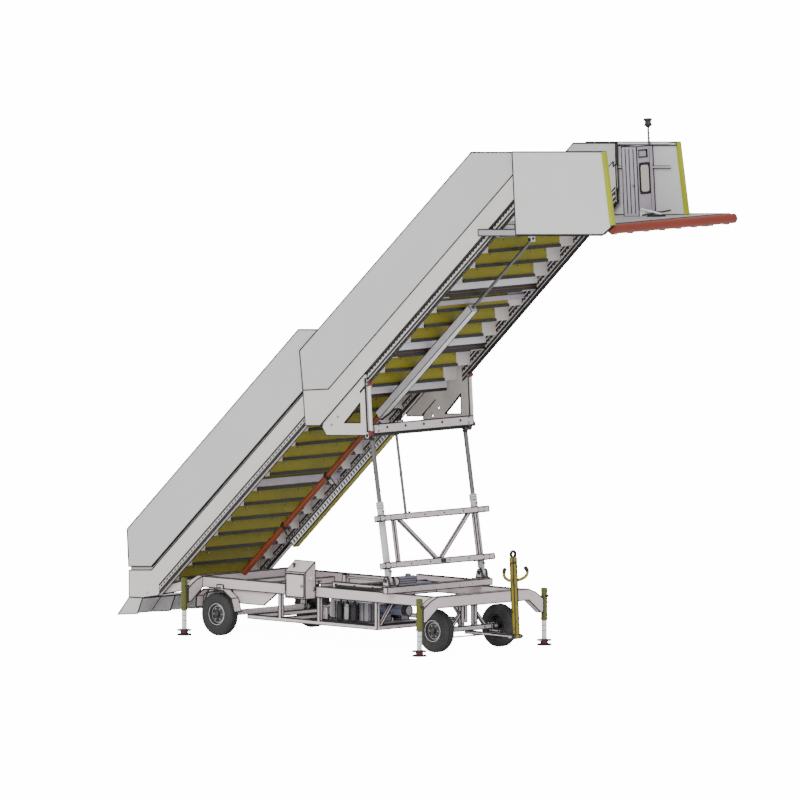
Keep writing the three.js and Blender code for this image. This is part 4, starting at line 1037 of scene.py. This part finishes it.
class STAIR_OT_extension(bpy.types.Operator):
    """Extension cylinder, its sleeve and rod, and the hose tray with its cable chain"""
    bl_idname = "stair.extension"
    bl_label = "Extension"

    def execute(self, context):
        barrel_low, barrel_high = in_stair("extension_ram_barrel")
        tray_low, tray_high = in_stair("hose_tray")
        y = (tray_low[1] + tray_high[1]) / 2
        slope = math.tan(PITCH)
        nose = in_stair("deck")[1][2]
        nose_x = steps_of("upper")[0] + sizes().upper_treads * sizes().run

        def ram(x, side=0.0, below=0.0):
            return stair(x, y + side, nose + (x - nose_x) * slope - RAM_DEPTH) - UNDER * below

        barrel = Surface()
        a, b = ram(1.063), ram(3.800)
        run = float(np.linalg.norm(b - a))
        barrel.loop(
            a, b - a,
            [
                (0.437 / math.cos(PITCH), 0.0318), (0.437 / math.cos(PITCH) - 0.001, 0.040),
                (run - 0.06, 0.042), (run - 0.055, 0.045), (run - 0.004, 0.045), (run, 0.042),
                (run, 0.0318)],
            36, 0)
        barrel.turned(
            a, b - a,
            [
                (0, 0.038), (0.006, 0.0445), (0.10, 0.045), (0.105, 0.042),
                (0.437 / math.cos(PITCH), 0.042)],
            36, 0)
        for x in (1.60, 2.20, 3.05):
            barrel.turned(
                ram(x), SLOPE, [(0, 0.0435), (0.004, 0.0455), (0.036, 0.0455), (0.040, 0.0435)], 32, 0)
        for x in (1.871, 2.735):
            barrel.turned(
                ram(x), SLOPE, [(0, 0.050), (0.004, 0.057), (0.030, 0.057), (0.034, 0.050)], 28, 1)
            barrel.bolt(ram(x + 0.012, -0.056), -ACROSS, 0.024, 1)
        barrel.finish("extension_barrel_detail", "lower_flight",
                      [FINISHES["orange"], FINISHES["dark"]], "ram_orange", ["extension_ram_barrel"])
        low, high = in_stair("extension_ram_rod")
        rod = Surface()
        half, wall = 0.055, 0.005
        start, end = ram(3.815), ram(5.683)
        for u, v, wu, wv in ((-half + wall / 2, 0, wall, 2 * half), (half - wall / 2, 0, wall, 2 * half),
                             (0, half - wall / 2, 2 * half, wall), (0, -half + wall / 2, 2 * half, wall)):
            section = [
                (u - wu / 2, v - wv / 2), (u + wu / 2, v - wv / 2), (u + wu / 2, v + wv / 2),
                (u - wu / 2, v + wv / 2)]
            rod.swept([start, end], section, None, 0, False)
        rod.swept(
            [end - SLOPE * 0.012, end], [(-half, -half), (half, -half), (half, half), (-half, half)],
            None, 0, False)
        for corner in ((-half, -half), (half, -half), (half, half), (-half, half)):
            u, v = (c * 1.0 for c in corner)
            bead = 0.006
            section = [(u - bead, v), (u, v - bead), (u + bead, v), (u, v + bead)]
            rod.swept([start, end], section, None, 2, False)
        rod.rod(ram(3.0), ram(6.9), 0.0215, 24, 1)
        rod.block((6.845, y - 0.044, high[2] - 0.190), (6.895, y + 0.044, high[2]), stair, 0)
        rod.turned(stair(6.870, y - 0.056, nose + (6.870 - nose_x) * slope - RAM_DEPTH), ACROSS,
                   [(0, 0.020), (0.004, 0.024), (0.108, 0.024), (0.112, 0.020)], 20, 2)
        rod.finish(
            "extension_rod_detail", "upper_flight",
            [FINISHES["white"], FINISHES["rod"], FINISHES["dark"]], "barrel_grey", ["extension_ram_rod"])
        tray = Surface()
        near, far = 1.871, 3.880

        def below(x0, x1, top, bottom, y0, y1, paint):
            outline = [(x0, bottom), (x1, bottom), (x1, top), (x0, top)]
            tray.plate(outline, lambda u, v: ram(u, y0, v), ACROSS * (y1 - y0), paint)

        below(near, far, 0.347, 0.353, -0.052, 0.052, 0)
        for _, s in SIDES:
            ends = sorted((s * 0.046, s * 0.052))
            for top, bottom in ((0.250, 0.262), (0.335, 0.353)):
                below(near, far, top, bottom, ends[0], ends[1], 1)
            for top, bottom in ((0.264, 0.272), (0.322, 0.333)):
                below(near, far, top, bottom, ends[0] - 0.001, ends[1] + 0.001, 2)
            for x in np.arange(near + 0.004, far - 0.02, 0.048):
                below(x, x + 0.014, 0.262, 0.340, ends[0], ends[1], 1)
                below(x + 0.018, x + 0.036, 0.274, 0.320, ends[0] - 0.001, ends[1] + 0.001, 2)
        for x in (1.888, 2.760):
            for _, s in SIDES:
                tray.rod(ram(x - 0.012, s * 0.046, 0.045), ram(x + 0.004, s * 0.046, 0.290), 0.008, 8, 1)
        tray.finish(
            "hose_tray_detail", "lower_flight", [FINISHES["step"], FINISHES["dark"], FINISHES["white"]],
            "step_olive", ["hose_tray"])
        hose = Surface()
        loops = [
            ram(3.86, -0.02, 0.30), ram(4.00, -0.02, 0.30), ram(4.10, -0.02, 0.22),
            ram(4.06, -0.02, 0.13), ram(3.93, -0.02, 0.10), ram(3.81, -0.02, 0.075)]
        for shift in (-0.018, 0.0, 0.018):
            hose.swept(smooth_path(np.array(loops) + ACROSS * shift, 6), circle(0.007, 8), None, 0)
        hose.finish("extension_hoses", "lower_flight", [FINISHES["black"]], "hose_black")
        return {"FINISHED"}


class STAIR_OT_pack(bpy.types.Operator):
    """Ribs, caps, filters and hoses of the power pack and battery box"""
    bl_idname = "stair.pack"
    bl_label = "Power pack"

    def execute(self, context):
        kit = Surface()
        motor = chassis(-1.490, -0.470, 0.516)
        kit.turned(motor + [0.08, 0, 0], [1, 0, 0], [(0, 0.0688), (0.41, 0.0688)], 28, 2)
        for x in np.arange(0.10, 0.48, 0.022):
            kit.turned(
                motor + [x, 0, 0], [1, 0, 0],
                [(0, 0.0695), (0.002, 0.074), (0.009, 0.074), (0.011, 0.0695)], 28, 2)
        for x in (0.0, 0.49):
            kit.turned(
                motor + [x, 0, 0], [1, 0, 0],
                [(0, 0.070), (0.004, 0.076), (0.072, 0.076), (0.078, 0.068)], 28, 0)
        kit.block((-1.35, -0.57, 0.585), (-1.20, -0.43, 0.640), chassis, 2)
        for x in (-2.00, -1.86, -1.72):
            kit.turned(
                chassis(x, -0.705, 0.332), [0, 0, 1],
                [(0, 0.046), (0.004, 0.050), (0.20, 0.050), (0.205, 0.042), (0.23, 0.040)], 24,
                1 if x == -1.86 else 0)
            kit.turned(chassis(x, -0.705, 0.562), [0, 0, 1], [(0, 0.022), (0.035, 0.020)], 12, 0)
        for x in np.linspace(-2.11, -1.52, 7):
            kit.block((x, -0.646, 0.345), (x + 0.014, -0.639, 0.585), chassis, 0)
        kit.block((-2.158, -0.648, 0.588), (-1.472, -0.242, 0.604), chassis, 3)
        for x in (-2.11, -1.82, -1.53):
            kit.bolt(chassis(x, -0.61, 0.604), [0, 0, 1], 0.022, 3)
        kit.turned(
            chassis(-1.70, -0.38, 0.604), [0, 0, 1],
            [(0, 0.034), (0.006, 0.040), (0.030, 0.040), (0.034, 0.030)], 24, 0)
        kit.block((-2.175, -0.72, 0.335), (-2.160, -0.30, 0.610), chassis, 3)
        kit.block((-1.420, -0.60, 0.340), (-1.365, -0.53, 0.440), chassis, 2)
        kit.block((-1.350, -0.66, 0.332), (-1.290, -0.60, 0.420), chassis, 0)
        kit.turned(
            chassis(-1.495, -0.135, 0.40), [0, -1, 0], [(0, 0.045), (0.05, 0.045), (0.055, 0.035)], 20, 0)
        kit.finish(
            "power_pack_fittings", "chassis",
            [FINISHES["dark"], FINISHES["zinc"], FINISHES["blue"], FINISHES["white"]], "pack_blue",
            bevel=0.002)
        case = Surface()
        case.block((-2.394, -0.744, 0.486), (-2.196, -0.476, 0.506), chassis, 0)
        case.block((-2.31, -0.746, 0.45), (-2.28, -0.739, 0.492), chassis, 1)
        for x in (-2.35, -2.24):
            case.turned(chassis(x, -0.62, 0.506), [0, 0, 1], [(0, 0.016), (0.020, 0.014)], 14, 2)
        case.finish(
            "battery_box_fittings", "chassis", [FINISHES["white"], FINISHES["zinc"], FINISHES["dark"]],
            "frame_white", bevel=0.003)
        hose = Surface()
        for k, (x, lift_to) in enumerate(((-1.98, 0.60), (-1.86, 0.585), (-1.72, 0.61))):
            route = [
                chassis(x, -0.705, 0.59), chassis(x, -0.70, lift_to + 0.06),
                chassis(x + 0.10, -0.60, lift_to + 0.075), chassis(x + 0.22, -0.30, lift_to + 0.05),
                chassis(-1.50, -0.10 + 0.03 * k, 0.50), chassis(-1.50, -0.05, 0.475)]
            hose.swept(smooth_path(route, 7), circle(0.011, 8), None, 0)
        for y in (-0.735, -0.755):
            route = [
                chassis(-2.19, y, 0.40), chassis(-2.12, y, 0.36), chassis(-1.6, y, 0.345),
                chassis(-1.30, y, 0.36), chassis(-1.24, y, 0.42)]
            hose.swept(smooth_path(route, 7), circle(0.009, 8), None, 0)
        hose.finish("pack_hoses", "chassis", [FINISHES["black"]], "hose_black")
        return {"FINISHED"}


class STAIR_OT_console(bpy.types.Operator):
    """Hinges, lock, lamp, tap and the mushroom stop button of the console"""
    bl_idname = "stair.console"
    bl_label = "Console"

    def execute(self, context):
        low, high = (np.array(c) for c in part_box("console_door"))
        door = Surface()
        face = low[1] + 0.013
        for z in (low[2] + 0.05, high[2] - 0.05):
            door.turned(
                [low[0] + 0.004, face - 0.006, z - 0.025], [0, 0, 1], [(0, 0.007), (0.05, 0.007)], 12, 0)
        door.turned([high[0] - 0.040, face + 0.001, (low[2] + high[2]) / 2], [0, -1, 0],
                    [(0, 0.021), (0.004, 0.024), (0.010, 0.024), (0.012, 0.012), (0.016, 0.010)], 24, 0)
        for dx, dz in ((0.03, 0.03), (0.03, -0.03), (-0.03, -0.03), (-0.03, 0.03)):
            at = [low[0] if dx > 0 else high[0], face, low[2] if dz > 0 else high[2]]
            door.rivet(np.array(at) + [dx, 0, dz], [0, -1, 0], 0.010, 0)
        door.finish("console_door_fittings", "console_door", [FINISHES["zinc"]], "bolt_steel")
        box = Surface()
        top = [np.array(c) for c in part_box("console_box")]
        front = chassis(-2.296, 0, 0)[0]
        at = chassis(-2.296, -0.901, 0.742)
        box.loop(at, [1, 0, 0], [(0, 0.022), (0, 0.040), (0.012, 0.036), (0.014, 0.022)], 24, 0)
        box.turned(at, [1, 0, 0], [(-0.002, 0.022), (0.006, 0.022)], 20, 1)
        lamp = chassis(-2.262, -0.985, 0.900)
        box.turned(lamp, [1, 0, 0], [(-0.002, 0.027), (0.003, 0.026), (0.008, 0.016)], 24, 2)
        tap = chassis(-2.245, -0.872, 0.800)
        box.turned(
            tap, [0, 0, 1], [(0, 0.014), (0.05, 0.014), (0.052, 0.024), (0.064, 0.024), (0.068, 0.012)],
            16, 1)
        box.rod(tap + [-0.045, 0, 0.055], tap + [0.055, 0, 0.062], 0.008, 10, 1)
        for z in (0.66, 0.94):
            for y in (-1.055, -0.905):
                box.rivet([front + 0.0005, y + chassis(0, 0, 0)[1], z], [1, 0, 0], 0.012, 0)
        box.finish(
            "console_fittings", "chassis", [FINISHES["zinc"], FINISHES["dark"], FINISHES["clear"]],
            "bolt_steel")
        b = [np.array(c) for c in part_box("stop_button")]
        axis = np.array([*((b[0] + b[1]) / 2)[:2], b[0][2]])
        tall = b[1][2] - b[0][2]
        stop = Surface()
        stop.turned(
            axis, [0, 0, 1],
            [
                (0, 0.0125), (tall - 0.022, 0.0125), (tall - 0.020, 0.022), (tall - 0.010, 0.024),
                (tall - 0.004, 0.019), (tall, 0.008)],
            32, 0)
        stop.finish("stop_button_detail", "stop_button", [FINISHES["dark"]], "button_red", ["stop_button"])
        return {"FINISHED"}


class STAIR_OT_carriage(bpy.types.Operator):
    """Lift foot clevises, ram glands, hoses and the small valve of the carriage"""
    bl_idname = "stair.carriage"
    bl_label = "Carriage"

    def execute(self, context):
        kit = Surface()
        for _, y in SIDES:
            at = LIFT_FOOT * [1, 0, 1] + [0, chassis(0, 0, 0)[1], 0]
            for face in (0.827, 0.952):
                kit.turned(
                    at + ACROSS * y * face, ACROSS * y,
                    [(0, 0.026), (0.004, 0.030), (0.010, 0.030), (0.013, 0.022)], 24, 1)
            for x in (-0.925, -0.83):
                for side in (0.845, 0.935):
                    kit.bolt(chassis(x, y * side, 0.886), [0, 0, 1], 0.020, 3)
            kit.block((-0.965, y * 0.772 - 0.002, 0.872), (-0.875, y * 0.772 + 0.002, 0.884), chassis, 2)
            for x in (-1.95, -1.60, -1.25, -0.95):
                kit.turned(
                    chassis(x, y * 0.8315, 0.822), ACROSS * y,
                    [(0, 0.022), (0.010, 0.022), (0.013, 0.014)], 20, 1)
        kit.block((-0.903, -0.795, 0.882), (-0.777, -0.475, 1.0015), chassis, 0)
        for z in (0.905, 0.935, 0.965):
            kit.block((-0.9045, -0.7965, z), (-0.7755, -0.4735, z + 0.009), chassis, 1)
        kit.block((-0.868, -0.60, 1.000), (-0.812, -0.54, 1.035), chassis, 0)
        kit.turned(
            chassis(-0.895, 0, CARRIAGE_RAM_UP), [-1, 0, 0],
            [(0, 0.030), (0.004, 0.041), (0.05, 0.041), (0.054, 0.036)], 28, 1)
        kit.turned(
            chassis(-1.722, 0, CARRIAGE_RAM_UP), [-1, 0, 0],
            [(0, 0.037), (0.004, 0.041), (0.052, 0.041), (0.057, 0.027)], 28, 1)
        kit.turned(
            chassis(-1.10, -0.03, CARRIAGE_RAM_UP), [0, -1, 0], [(0, 0.016), (0.03, 0.014)], 6, 3, False)
        for y in np.linspace(-0.62, 0.62, 6):
            kit.rivet(chassis(-0.798, y, 0.820), [1, 0, 0], 0.020, 3)
        kit.finish(
            "carriage_fittings", "carriage",
            [FINISHES["mauve_grey"], FINISHES["dark"], FINISHES["white"], FINISHES["zinc"]], "pack_blue",
            bevel=0.0015)
        hose = Surface()
        for shift in (0.0, 0.020, 0.040):
            route = [
                chassis(-1.96, -0.845, 0.800 + shift * 0.6), chassis(-1.7, -0.846, 0.798 + shift * 0.6),
                chassis(-1.3, -0.846, 0.800 + shift * 0.6), chassis(-1.05, -0.846, 0.815 + shift * 0.6),
                chassis(-0.97, -0.835, 0.885 + shift * 0.5), chassis(-0.90, -0.760, 0.925 + shift * 0.5)]
            hose.swept(smooth_path(route, 7), circle(0.0085, 8), None, 0)
        hose.finish("carriage_hoses", "carriage", [FINISHES["black"]], "hose_black")
        return {"FINISHED"}


class STAIR_OT_platform(bpy.types.Operator):
    """Bumper, guard strips and rivets, cabinet window, lamp and beacon"""
    bl_idname = "stair.platform"
    bl_label = "Platform"

    def execute(self, context):
        low, high = in_stair("bumper")
        radius = (high[0] - low[0]) / 2
        centre = (low + high) / 2
        roll = Surface()
        length = high[1] - low[1]
        t = np.linspace(0, 1, 60)
        swell = radius * (1 - 0.003 * np.sin(t * 14 * math.pi) ** 8)
        profile = [
            (0, radius * 0.55), (0.008, radius * 0.88),
            *((0.02 + float(a) * (length - 0.04), float(b)) for a, b in zip(t, swell)),
            (length - 0.008, radius * 0.88), (length, radius * 0.55)]
        roll.turned(stair(centre[0], low[1], centre[2]), ACROSS, profile, 40, 0)
        roll.finish("bumper_roll", "upper_flight", [FINISHES["bumper"]], "bumper_orange", ["bumper"])
        hold = Surface()
        for y in np.linspace(low[1] + 0.12, high[1] - 0.12, 8):
            hold.block(
                (centre[0] - radius - 0.03, y, centre[2] - 0.055),
                (centre[0] - radius + 0.008, y + 0.05, centre[2] + 0.055), stair, 0)
            hold.block(
                (centre[0] - radius - 0.05, y + 0.005, centre[2] - 0.082),
                (centre[0] - 0.035, y + 0.045, centre[2] - 0.062), stair, 0)
        deck_low, deck_high = in_stair("deck")
        for x in np.linspace(deck_low[0] + 0.75, deck_high[0] - 0.12, 7):
            hold.bolt(stair(x, deck_low[1] + 0.06, deck_high[2]), PLUMB, 0.018, 1, washer=False)
            hold.bolt(stair(x, deck_high[1] - 0.06, deck_high[2]), PLUMB, 0.018, 1, washer=False)
        hold.block((8.16, 0.66, deck_high[2]), (8.26, 0.80, deck_high[2] + 0.085), stair, 3)
        hold.block((8.20, 0.82, deck_high[2]), (8.34, 0.90, deck_high[2] + 0.060), stair, 0)
        hold.block((8.36, 0.60, deck_high[2]), (8.62, 0.70, deck_high[2] + 0.028), stair, 2)
        hold.rod(
            stair(8.20, 0.64, deck_high[2] + 0.10), stair(8.46, 0.78, deck_high[2] + 0.025), 0.016, 12, 3)
        hold.rod(
            stair(8.26, 0.60, deck_high[2] + 0.02), stair(8.52, 0.90, deck_high[2] + 0.07), 0.012, 12, 0)
        hold.finish(
            "deck_fittings", "upper_flight",
            [FINISHES["dark"], FINISHES["zinc"], FINISHES["black"], FINISHES["white"]], "detail_black",
            bevel=0.002)
        for side, y in SIDES:
            name = f"{side}_guard"
            glow, ghigh = in_stair(name)
            shift = ghigh[0] - GUARD_NOSE
            strip = Surface()
            z0 = max(4.975, glow[2])
            lean = (9.257 - GUARD_NOSE) / (GUARD_TOP - 4.975)
            t = np.linspace(0, 1, 24)
            z = z0 + t * (5.974 - z0)
            mid = 9.340 + (z - 4.975) * lean + shift - 0.001
            path = np.array([stair(a, y * 1.036, b) for a, b in zip(mid, z)])
            strip.swept(path, rounded(0.0275, 0.0325, 0.008, 3), ACROSS, 0)
            strip.finish(f"{name}_strip", name, [FINISHES["edging"]], "edge_green")
            trim = Surface()
            out = ACROSS * y
            face = y * 1.0265
            if side == "right":
                for a in np.linspace(5.07, 5.49, 5):
                    trim.rivet(stair(8.83, face, a), out, 0.026, 0)
            for a in np.linspace(7.60, 9.15, 9):
                trim.rivet(stair(a + shift, y * 1.0265, 5.952), out, 0.014, 0)
            for a in (5.10, 5.50, 5.90):
                trim.rivet(stair(7.52 + shift, face, a), out, 0.014, 0)
            inner = y * 1.009
            for level in (5.955, 5.634):
                trim.rod(
                    stair(GUARD_RAIL[0] + shift, inner, level),
                    stair(GUARD_RAIL[1] + shift, inner, level), 0.014, 14, 1)
            for level in (5.617, 5.651):
                trim.rod(
                    stair(GUARD_RAIL[0] + shift, inner - y * 0.014, level),
                    stair(GUARD_RAIL[1] + shift, inner - y * 0.014, level), 0.005, 8, 2)
            trim.finish(
                f"{name}_trim", name, [FINISHES["zinc"], FINISHES["white"], FINISHES["dark"]],
                "bolt_steel")
        lamp = Surface()
        ring = rounded(0.105, 0.215, 0.05, 5)
        inner_ring = rounded(0.072, 0.180, 0.035, 5)
        place = lambda u, v: stair(8.0895, 0.8375 + u, 5.495 + v)
        lamp.plate(ring, place, LEVEL * 0.022, 0)
        lamp.plate(inner_ring, lambda u, v: stair(8.110, 0.8375 + u, 5.495 + v), LEVEL * 0.006, 1)
        lamp.plate(
            rounded(0.080, 0.050, 0.012, 3), lambda u, v: stair(8.0695, 0.820 + u, 5.830 + v),
            LEVEL * 0.030, 0)
        lamp.plate(
            rounded(0.068, 0.038, 0.010, 3), lambda u, v: stair(8.0985, 0.820 + u, 5.830 + v),
            LEVEL * 0.004, 2)
        for a in (7.885, 7.955, 8.035):
            lamp.block((a, 0.6995, CABINET_LINES[0]), (a + 0.016, 0.7025, CABINET_LINES[1]), stair, 0)
        lamp.block((8.108, 0.94, CABINET_LINES[0]), (8.1115, 0.946, CABINET_LINES[1]), stair, 0)
        lamp.turned(stair(8.02, 0.7025, 5.40), -ACROSS, [(0, 0.018), (0.006, 0.018), (0.008, 0.010)], 16, 3)
        lamp.rod(stair(7.83, 0.688, 5.30), stair(7.83, 0.688, 5.62), 0.008, 10, 3)
        for a in (5.30, 5.62):
            lamp.rod(stair(7.83, 0.688, a), stair(7.83, 0.704, a), 0.008, 10, 3)
        lamp.finish(
            "cabinet_lamp", "upper_flight",
            [FINISHES["dark"], FINISHES["lamp"], FINISHES["glass"], FINISHES["zinc"]], "lens_clear")
        low, high = in_stair("beacon")
        at = stair((low[0] + high[0]) / 2, (low[1] + high[1]) / 2, low[2])
        tall = high[2] - low[2]
        light = Surface()
        light.turned(at, PLUMB, [(0, 0.034), (0.006, 0.034), (0.008, 0.016), (tall - 0.125, 0.0155)], 20, 2)
        light.turned(
            at, PLUMB,
            [
                (tall - 0.125, 0.030), (tall - 0.105, 0.046), (tall - 0.098, 0.060),
                (tall - 0.088, 0.060), (tall - 0.082, 0.050)],
            32, 0)
        light.turned(at, PLUMB, [(tall - 0.082, 0.046), (tall - 0.040, 0.044)], 32, 1)
        light.turned(
            at, PLUMB,
            [
                (tall - 0.040, 0.050), (tall - 0.034, 0.062), (tall - 0.012, 0.060),
                (tall - 0.002, 0.040), (tall, 0.012)],
            32, 0)
        light.finish(
            "beacon_detail", "upper_flight", [FINISHES["black"], FINISHES["amber_dark"], FINISHES["rod"]],
            "beacon_black", ["beacon"])
        return {"FINISHED"}


class STAIR_OT_bracket(bpy.types.Operator):
    """Posts, pins, bolts and hoses where the lift cylinders take hold of the upper flight"""
    bl_idname = "stair.bracket"
    bl_label = "Lift bracket"

    def execute(self, context):
        kit = Surface()
        for _, y in SIDES:
            foot, head = chassis(-1.145, y * 0.968, 2.945), chassis(-1.190, y * 0.968, 3.610)
            kit.rod(foot, head, 0.024, 16, 0)
            for at in (foot, head):
                kit.turned(
                    at - ACROSS * y * 0.034, ACROSS * y,
                    [(0, 0.030), (0.004, 0.034), (0.062, 0.034), (0.066, 0.028)], 20, 1)
            kit.turned(head - ACROSS * y * 0.050, ACROSS * y, [(0, 0.020), (0.096, 0.020)], 16, 3)
            for x, z in ((-1.30, 3.03), (-1.52, 3.03), (-1.74, 3.06), (-1.52, 3.20)):
                kit.loop(
                    chassis(x, y * 0.962, z), ACROSS * y,
                    [(0, 0.016), (0, 0.027), (0.006, 0.027), (0.006, 0.016)], 20, 2)
                kit.bolt(chassis(x, y * 0.962, z), ACROSS * y, 0.020, 3, washer=False)
        for y in np.linspace(-0.70, 0.70, 5):
            kit.turned(chassis(-1.106, y, 3.010), [1, 0, 0], [(0, 0.018), (0.003, 0.017)], 14, 2)
        for y in (-0.86, 0.86):
            for z in (2.97, 3.05):
                kit.bolt(chassis(-1.106, y, z), [1, 0, 0], 0.020, 3)
        kit.finish("bracket_posts", "upper_flight",
                   [FINISHES["white"], FINISHES["foot"], FINISHES["dark"], FINISHES["zinc"]],
                   "frame_white")
        return {"FINISHED"}


class STAIR_OT_towing(bpy.types.Operator):
    """Towbar with its eye, fork and grips, steering yoke and front axle details"""
    bl_idname = "stair.towing"
    bl_label = "Towing"

    def execute(self, context):
        joint = JOINTS["towbar_fold"]
        foot = np.array(joint["pos_m"])
        low, high = (np.array(c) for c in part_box("towbar"))
        lean = math.radians(3)
        up = np.array([-math.sin(lean), 0, math.cos(lean)])
        ahead = np.array([math.cos(lean), 0, math.sin(lean)])
        origin = np.array([foot[0], (low[1] + high[1]) / 2, foot[2]])
        length = (high[2] - foot[2]) / math.cos(lean)

        def bar(a, y, h):
            return origin + ahead * a + ACROSS * y + up * h

        tow = Surface()
        tow.swept(
            np.array([bar(0, 0, h) for h in np.linspace(0.030, length - 0.155, 12)]),
            rounded(0.035, 0.030, 0.006, 2), ACROSS, 0, False)
        tow.loop(
            bar(0, -0.034, 0), ACROSS,
            [(0, 0.0172), (0, 0.032), (0.004, 0.036), (0.064, 0.036), (0.068, 0.032), (0.068, 0.0172)],
            28, 0)
        tow.swept(
            np.array(
                [
                    bar(0, 0, length - 0.160), bar(0, 0, length - 0.150), bar(0, 0, length - 0.100),
                    bar(0, 0, length - 0.094)]),
            rounded(0.046, 0.030, 0.010, 3), ACROSS, 0, False)
        tow.turned(bar(0, 0, length - 0.175), up, [(0, 0.046), (0.014, 0.046)], 20, 1)
        for _, y in SIDES:
            for a in (-0.0305, 0.0305):
                tow.rod(bar(a, y * 0.0345, 0.04), bar(a, y * 0.0345, length - 0.10), 0.0075, 8, 1)
        turn = np.linspace(0, 2 * math.pi, 32, endpoint=False)
        centre_h = length - 0.055
        tube = circle(0.021, 12)
        ring = np.array(
            [
                [
                    bar(
                        tube[k][1], (0.042 + tube[k][0]) * math.cos(a),
                        centre_h + (0.042 + tube[k][0]) * math.sin(a))
                    for k in range(12)]
                for a in turn])
        i, j = np.meshgrid(np.arange(32), np.arange(12), indexing="ij")
        i2, j2 = (i + 1) % 32, (j + 1) % 12
        tow.shell(
            ring.reshape(-1, 3),
            [
                tuple(q)
                for q in np.stack(
                    [i * 12 + j, i * 12 + j2, i2 * 12 + j2, i2 * 12 + j], -1).reshape(-1, 4).tolist()],
            1, True)
        for _, y in SIDES:
            route = [
                bar(0, y * 0.02, 0.760), bar(0.018, y * 0.120, 0.770), bar(0.034, y * 0.205, 0.815),
                bar(0.036, y * 0.225, 0.880), bar(0.024, y * 0.190, 0.925)]
            tow.swept(smooth_path(route, 8), circle(0.023, 12), ahead, 0)
            tow.swept(
                smooth_path(
                    [
                        bar(0.0365, y * 0.224, 0.870), bar(0.034, y * 0.214, 0.900),
                        bar(0.024, y * 0.189, 0.928)],
                    5),
                circle(0.0275, 12), ahead, 1)
        for h in (0.20, 0.46, 0.70):
            tow.bolt(bar(0.031, 0, h), ahead, 0.020, 2)
        for _, y in SIDES:
            tow.bolt(bar(0, y * 0.036, 0.110), ACROSS * y, 0.020, 2)
            tow.rod(bar(-0.014, y * 0.034, 0.337), bar(-0.014, y * 0.066, 0.337), 0.010, 10, 1)
        tow.finish(
            "towbar_detail", "towbar", [FINISHES["towbar"], FINISHES["black"], FINISHES["zinc"]],
            "tow_yellow", ["towbar"])
        fit = Surface()
        for _, y in SIDES:
            fit.turned(
                origin + ACROSS * y * 0.062, ACROSS * y,
                [(0, 0.030), (0.004, 0.034), (0.030, 0.034), (0.034, 0.024)], 24, 0)
            fit.bolt(origin + ACROSS * y * 0.096, ACROSS * y, 0.024, 1)
            for x in (0.22, 0.40):
                fit.bolt(chassis(x, y * 0.022, 0.257), [0, 0, 1], 0.018, 1)
        fit.rod(origin + [-0.10, -0.02, 0.055], origin + [-0.02, -0.09, 0.085], 0.010, 10, 0)
        fit.finish("yoke_fittings", "drawbar", [FINISHES["dark"], FINISHES["zinc"]], "detail_black")
        axle = Surface()
        for _, y in SIDES:
            axle.turned(
                chassis(-0.27, y * 0.455, 0.352), [0, 0, 1],
                [(0, 0.024), (0.004, 0.026), (0.020, 0.026), (0.023, 0.016)], 20, 0)
            for z in (0.36, 0.60):
                axle.bolt(chassis(-0.242, y * 0.124, z), [1, 0, 0], 0.020, 1)
            axle.bolt(chassis(-0.240, y * 0.300, 0.292), [1, 0, 0], 0.022, 1)
            axle.block(
                (-0.302, min(y * 0.20, y * 0.34), 0.3225), (-0.238, max(y * 0.20, y * 0.34), 0.330),
                chassis, 2)
        axle.finish(
            "front_axle_fittings", "chassis", [FINISHES["dark"], FINISHES["zinc"], FINISHES["white"]],
            "bolt_steel")
        return {"FINISHED"}


OPERATORS = [
    STAIR_OT_stage, STAIR_OT_paint, STAIR_OT_seals, STAIR_OT_treads, STAIR_OT_racks, STAIR_OT_wheels,
    STAIR_OT_jacks, STAIR_OT_lift, STAIR_OT_extension, STAIR_OT_pack, STAIR_OT_console, STAIR_OT_carriage,
    STAIR_OT_platform, STAIR_OT_bracket, STAIR_OT_towing]


class STAIR_PT_panel(bpy.types.Panel):
    """Lists the steps that build the finished stair"""
    bl_label = "Boarding stair"
    bl_idname = "STAIR_PT_panel"
    bl_space_type = "VIEW_3D"
    bl_region_type = "UI"
    bl_category = "Boarding stair"

    def draw(self, context):
        for operator in OPERATORS:
            self.layout.operator(operator.bl_idname)
        for group in (context.scene.stair_sizes, context.scene.stair_colours):
            for name in group.bl_rna.properties.keys():
                if name not in ("rna_type", "name"):
                    self.layout.prop(group, name)


CLASSES = [StairSizes, StairColours, *OPERATORS, STAIR_PT_panel]


def register():
    for cls in CLASSES:
        bpy.utils.register_class(cls)
    bpy.types.Scene.stair_sizes = PointerProperty(type=StairSizes)
    bpy.types.Scene.stair_colours = PointerProperty(type=StairColours)


def unregister():
    del bpy.types.Scene.stair_colours
    del bpy.types.Scene.stair_sizes
    for cls in reversed(CLASSES):
        bpy.utils.unregister_class(cls)


def main():
    register()
    for operator in OPERATORS:
        group, name = operator.bl_idname.split(".")
        getattr(getattr(bpy.ops, group), name)()


if __name__ == "__main__":
    main()
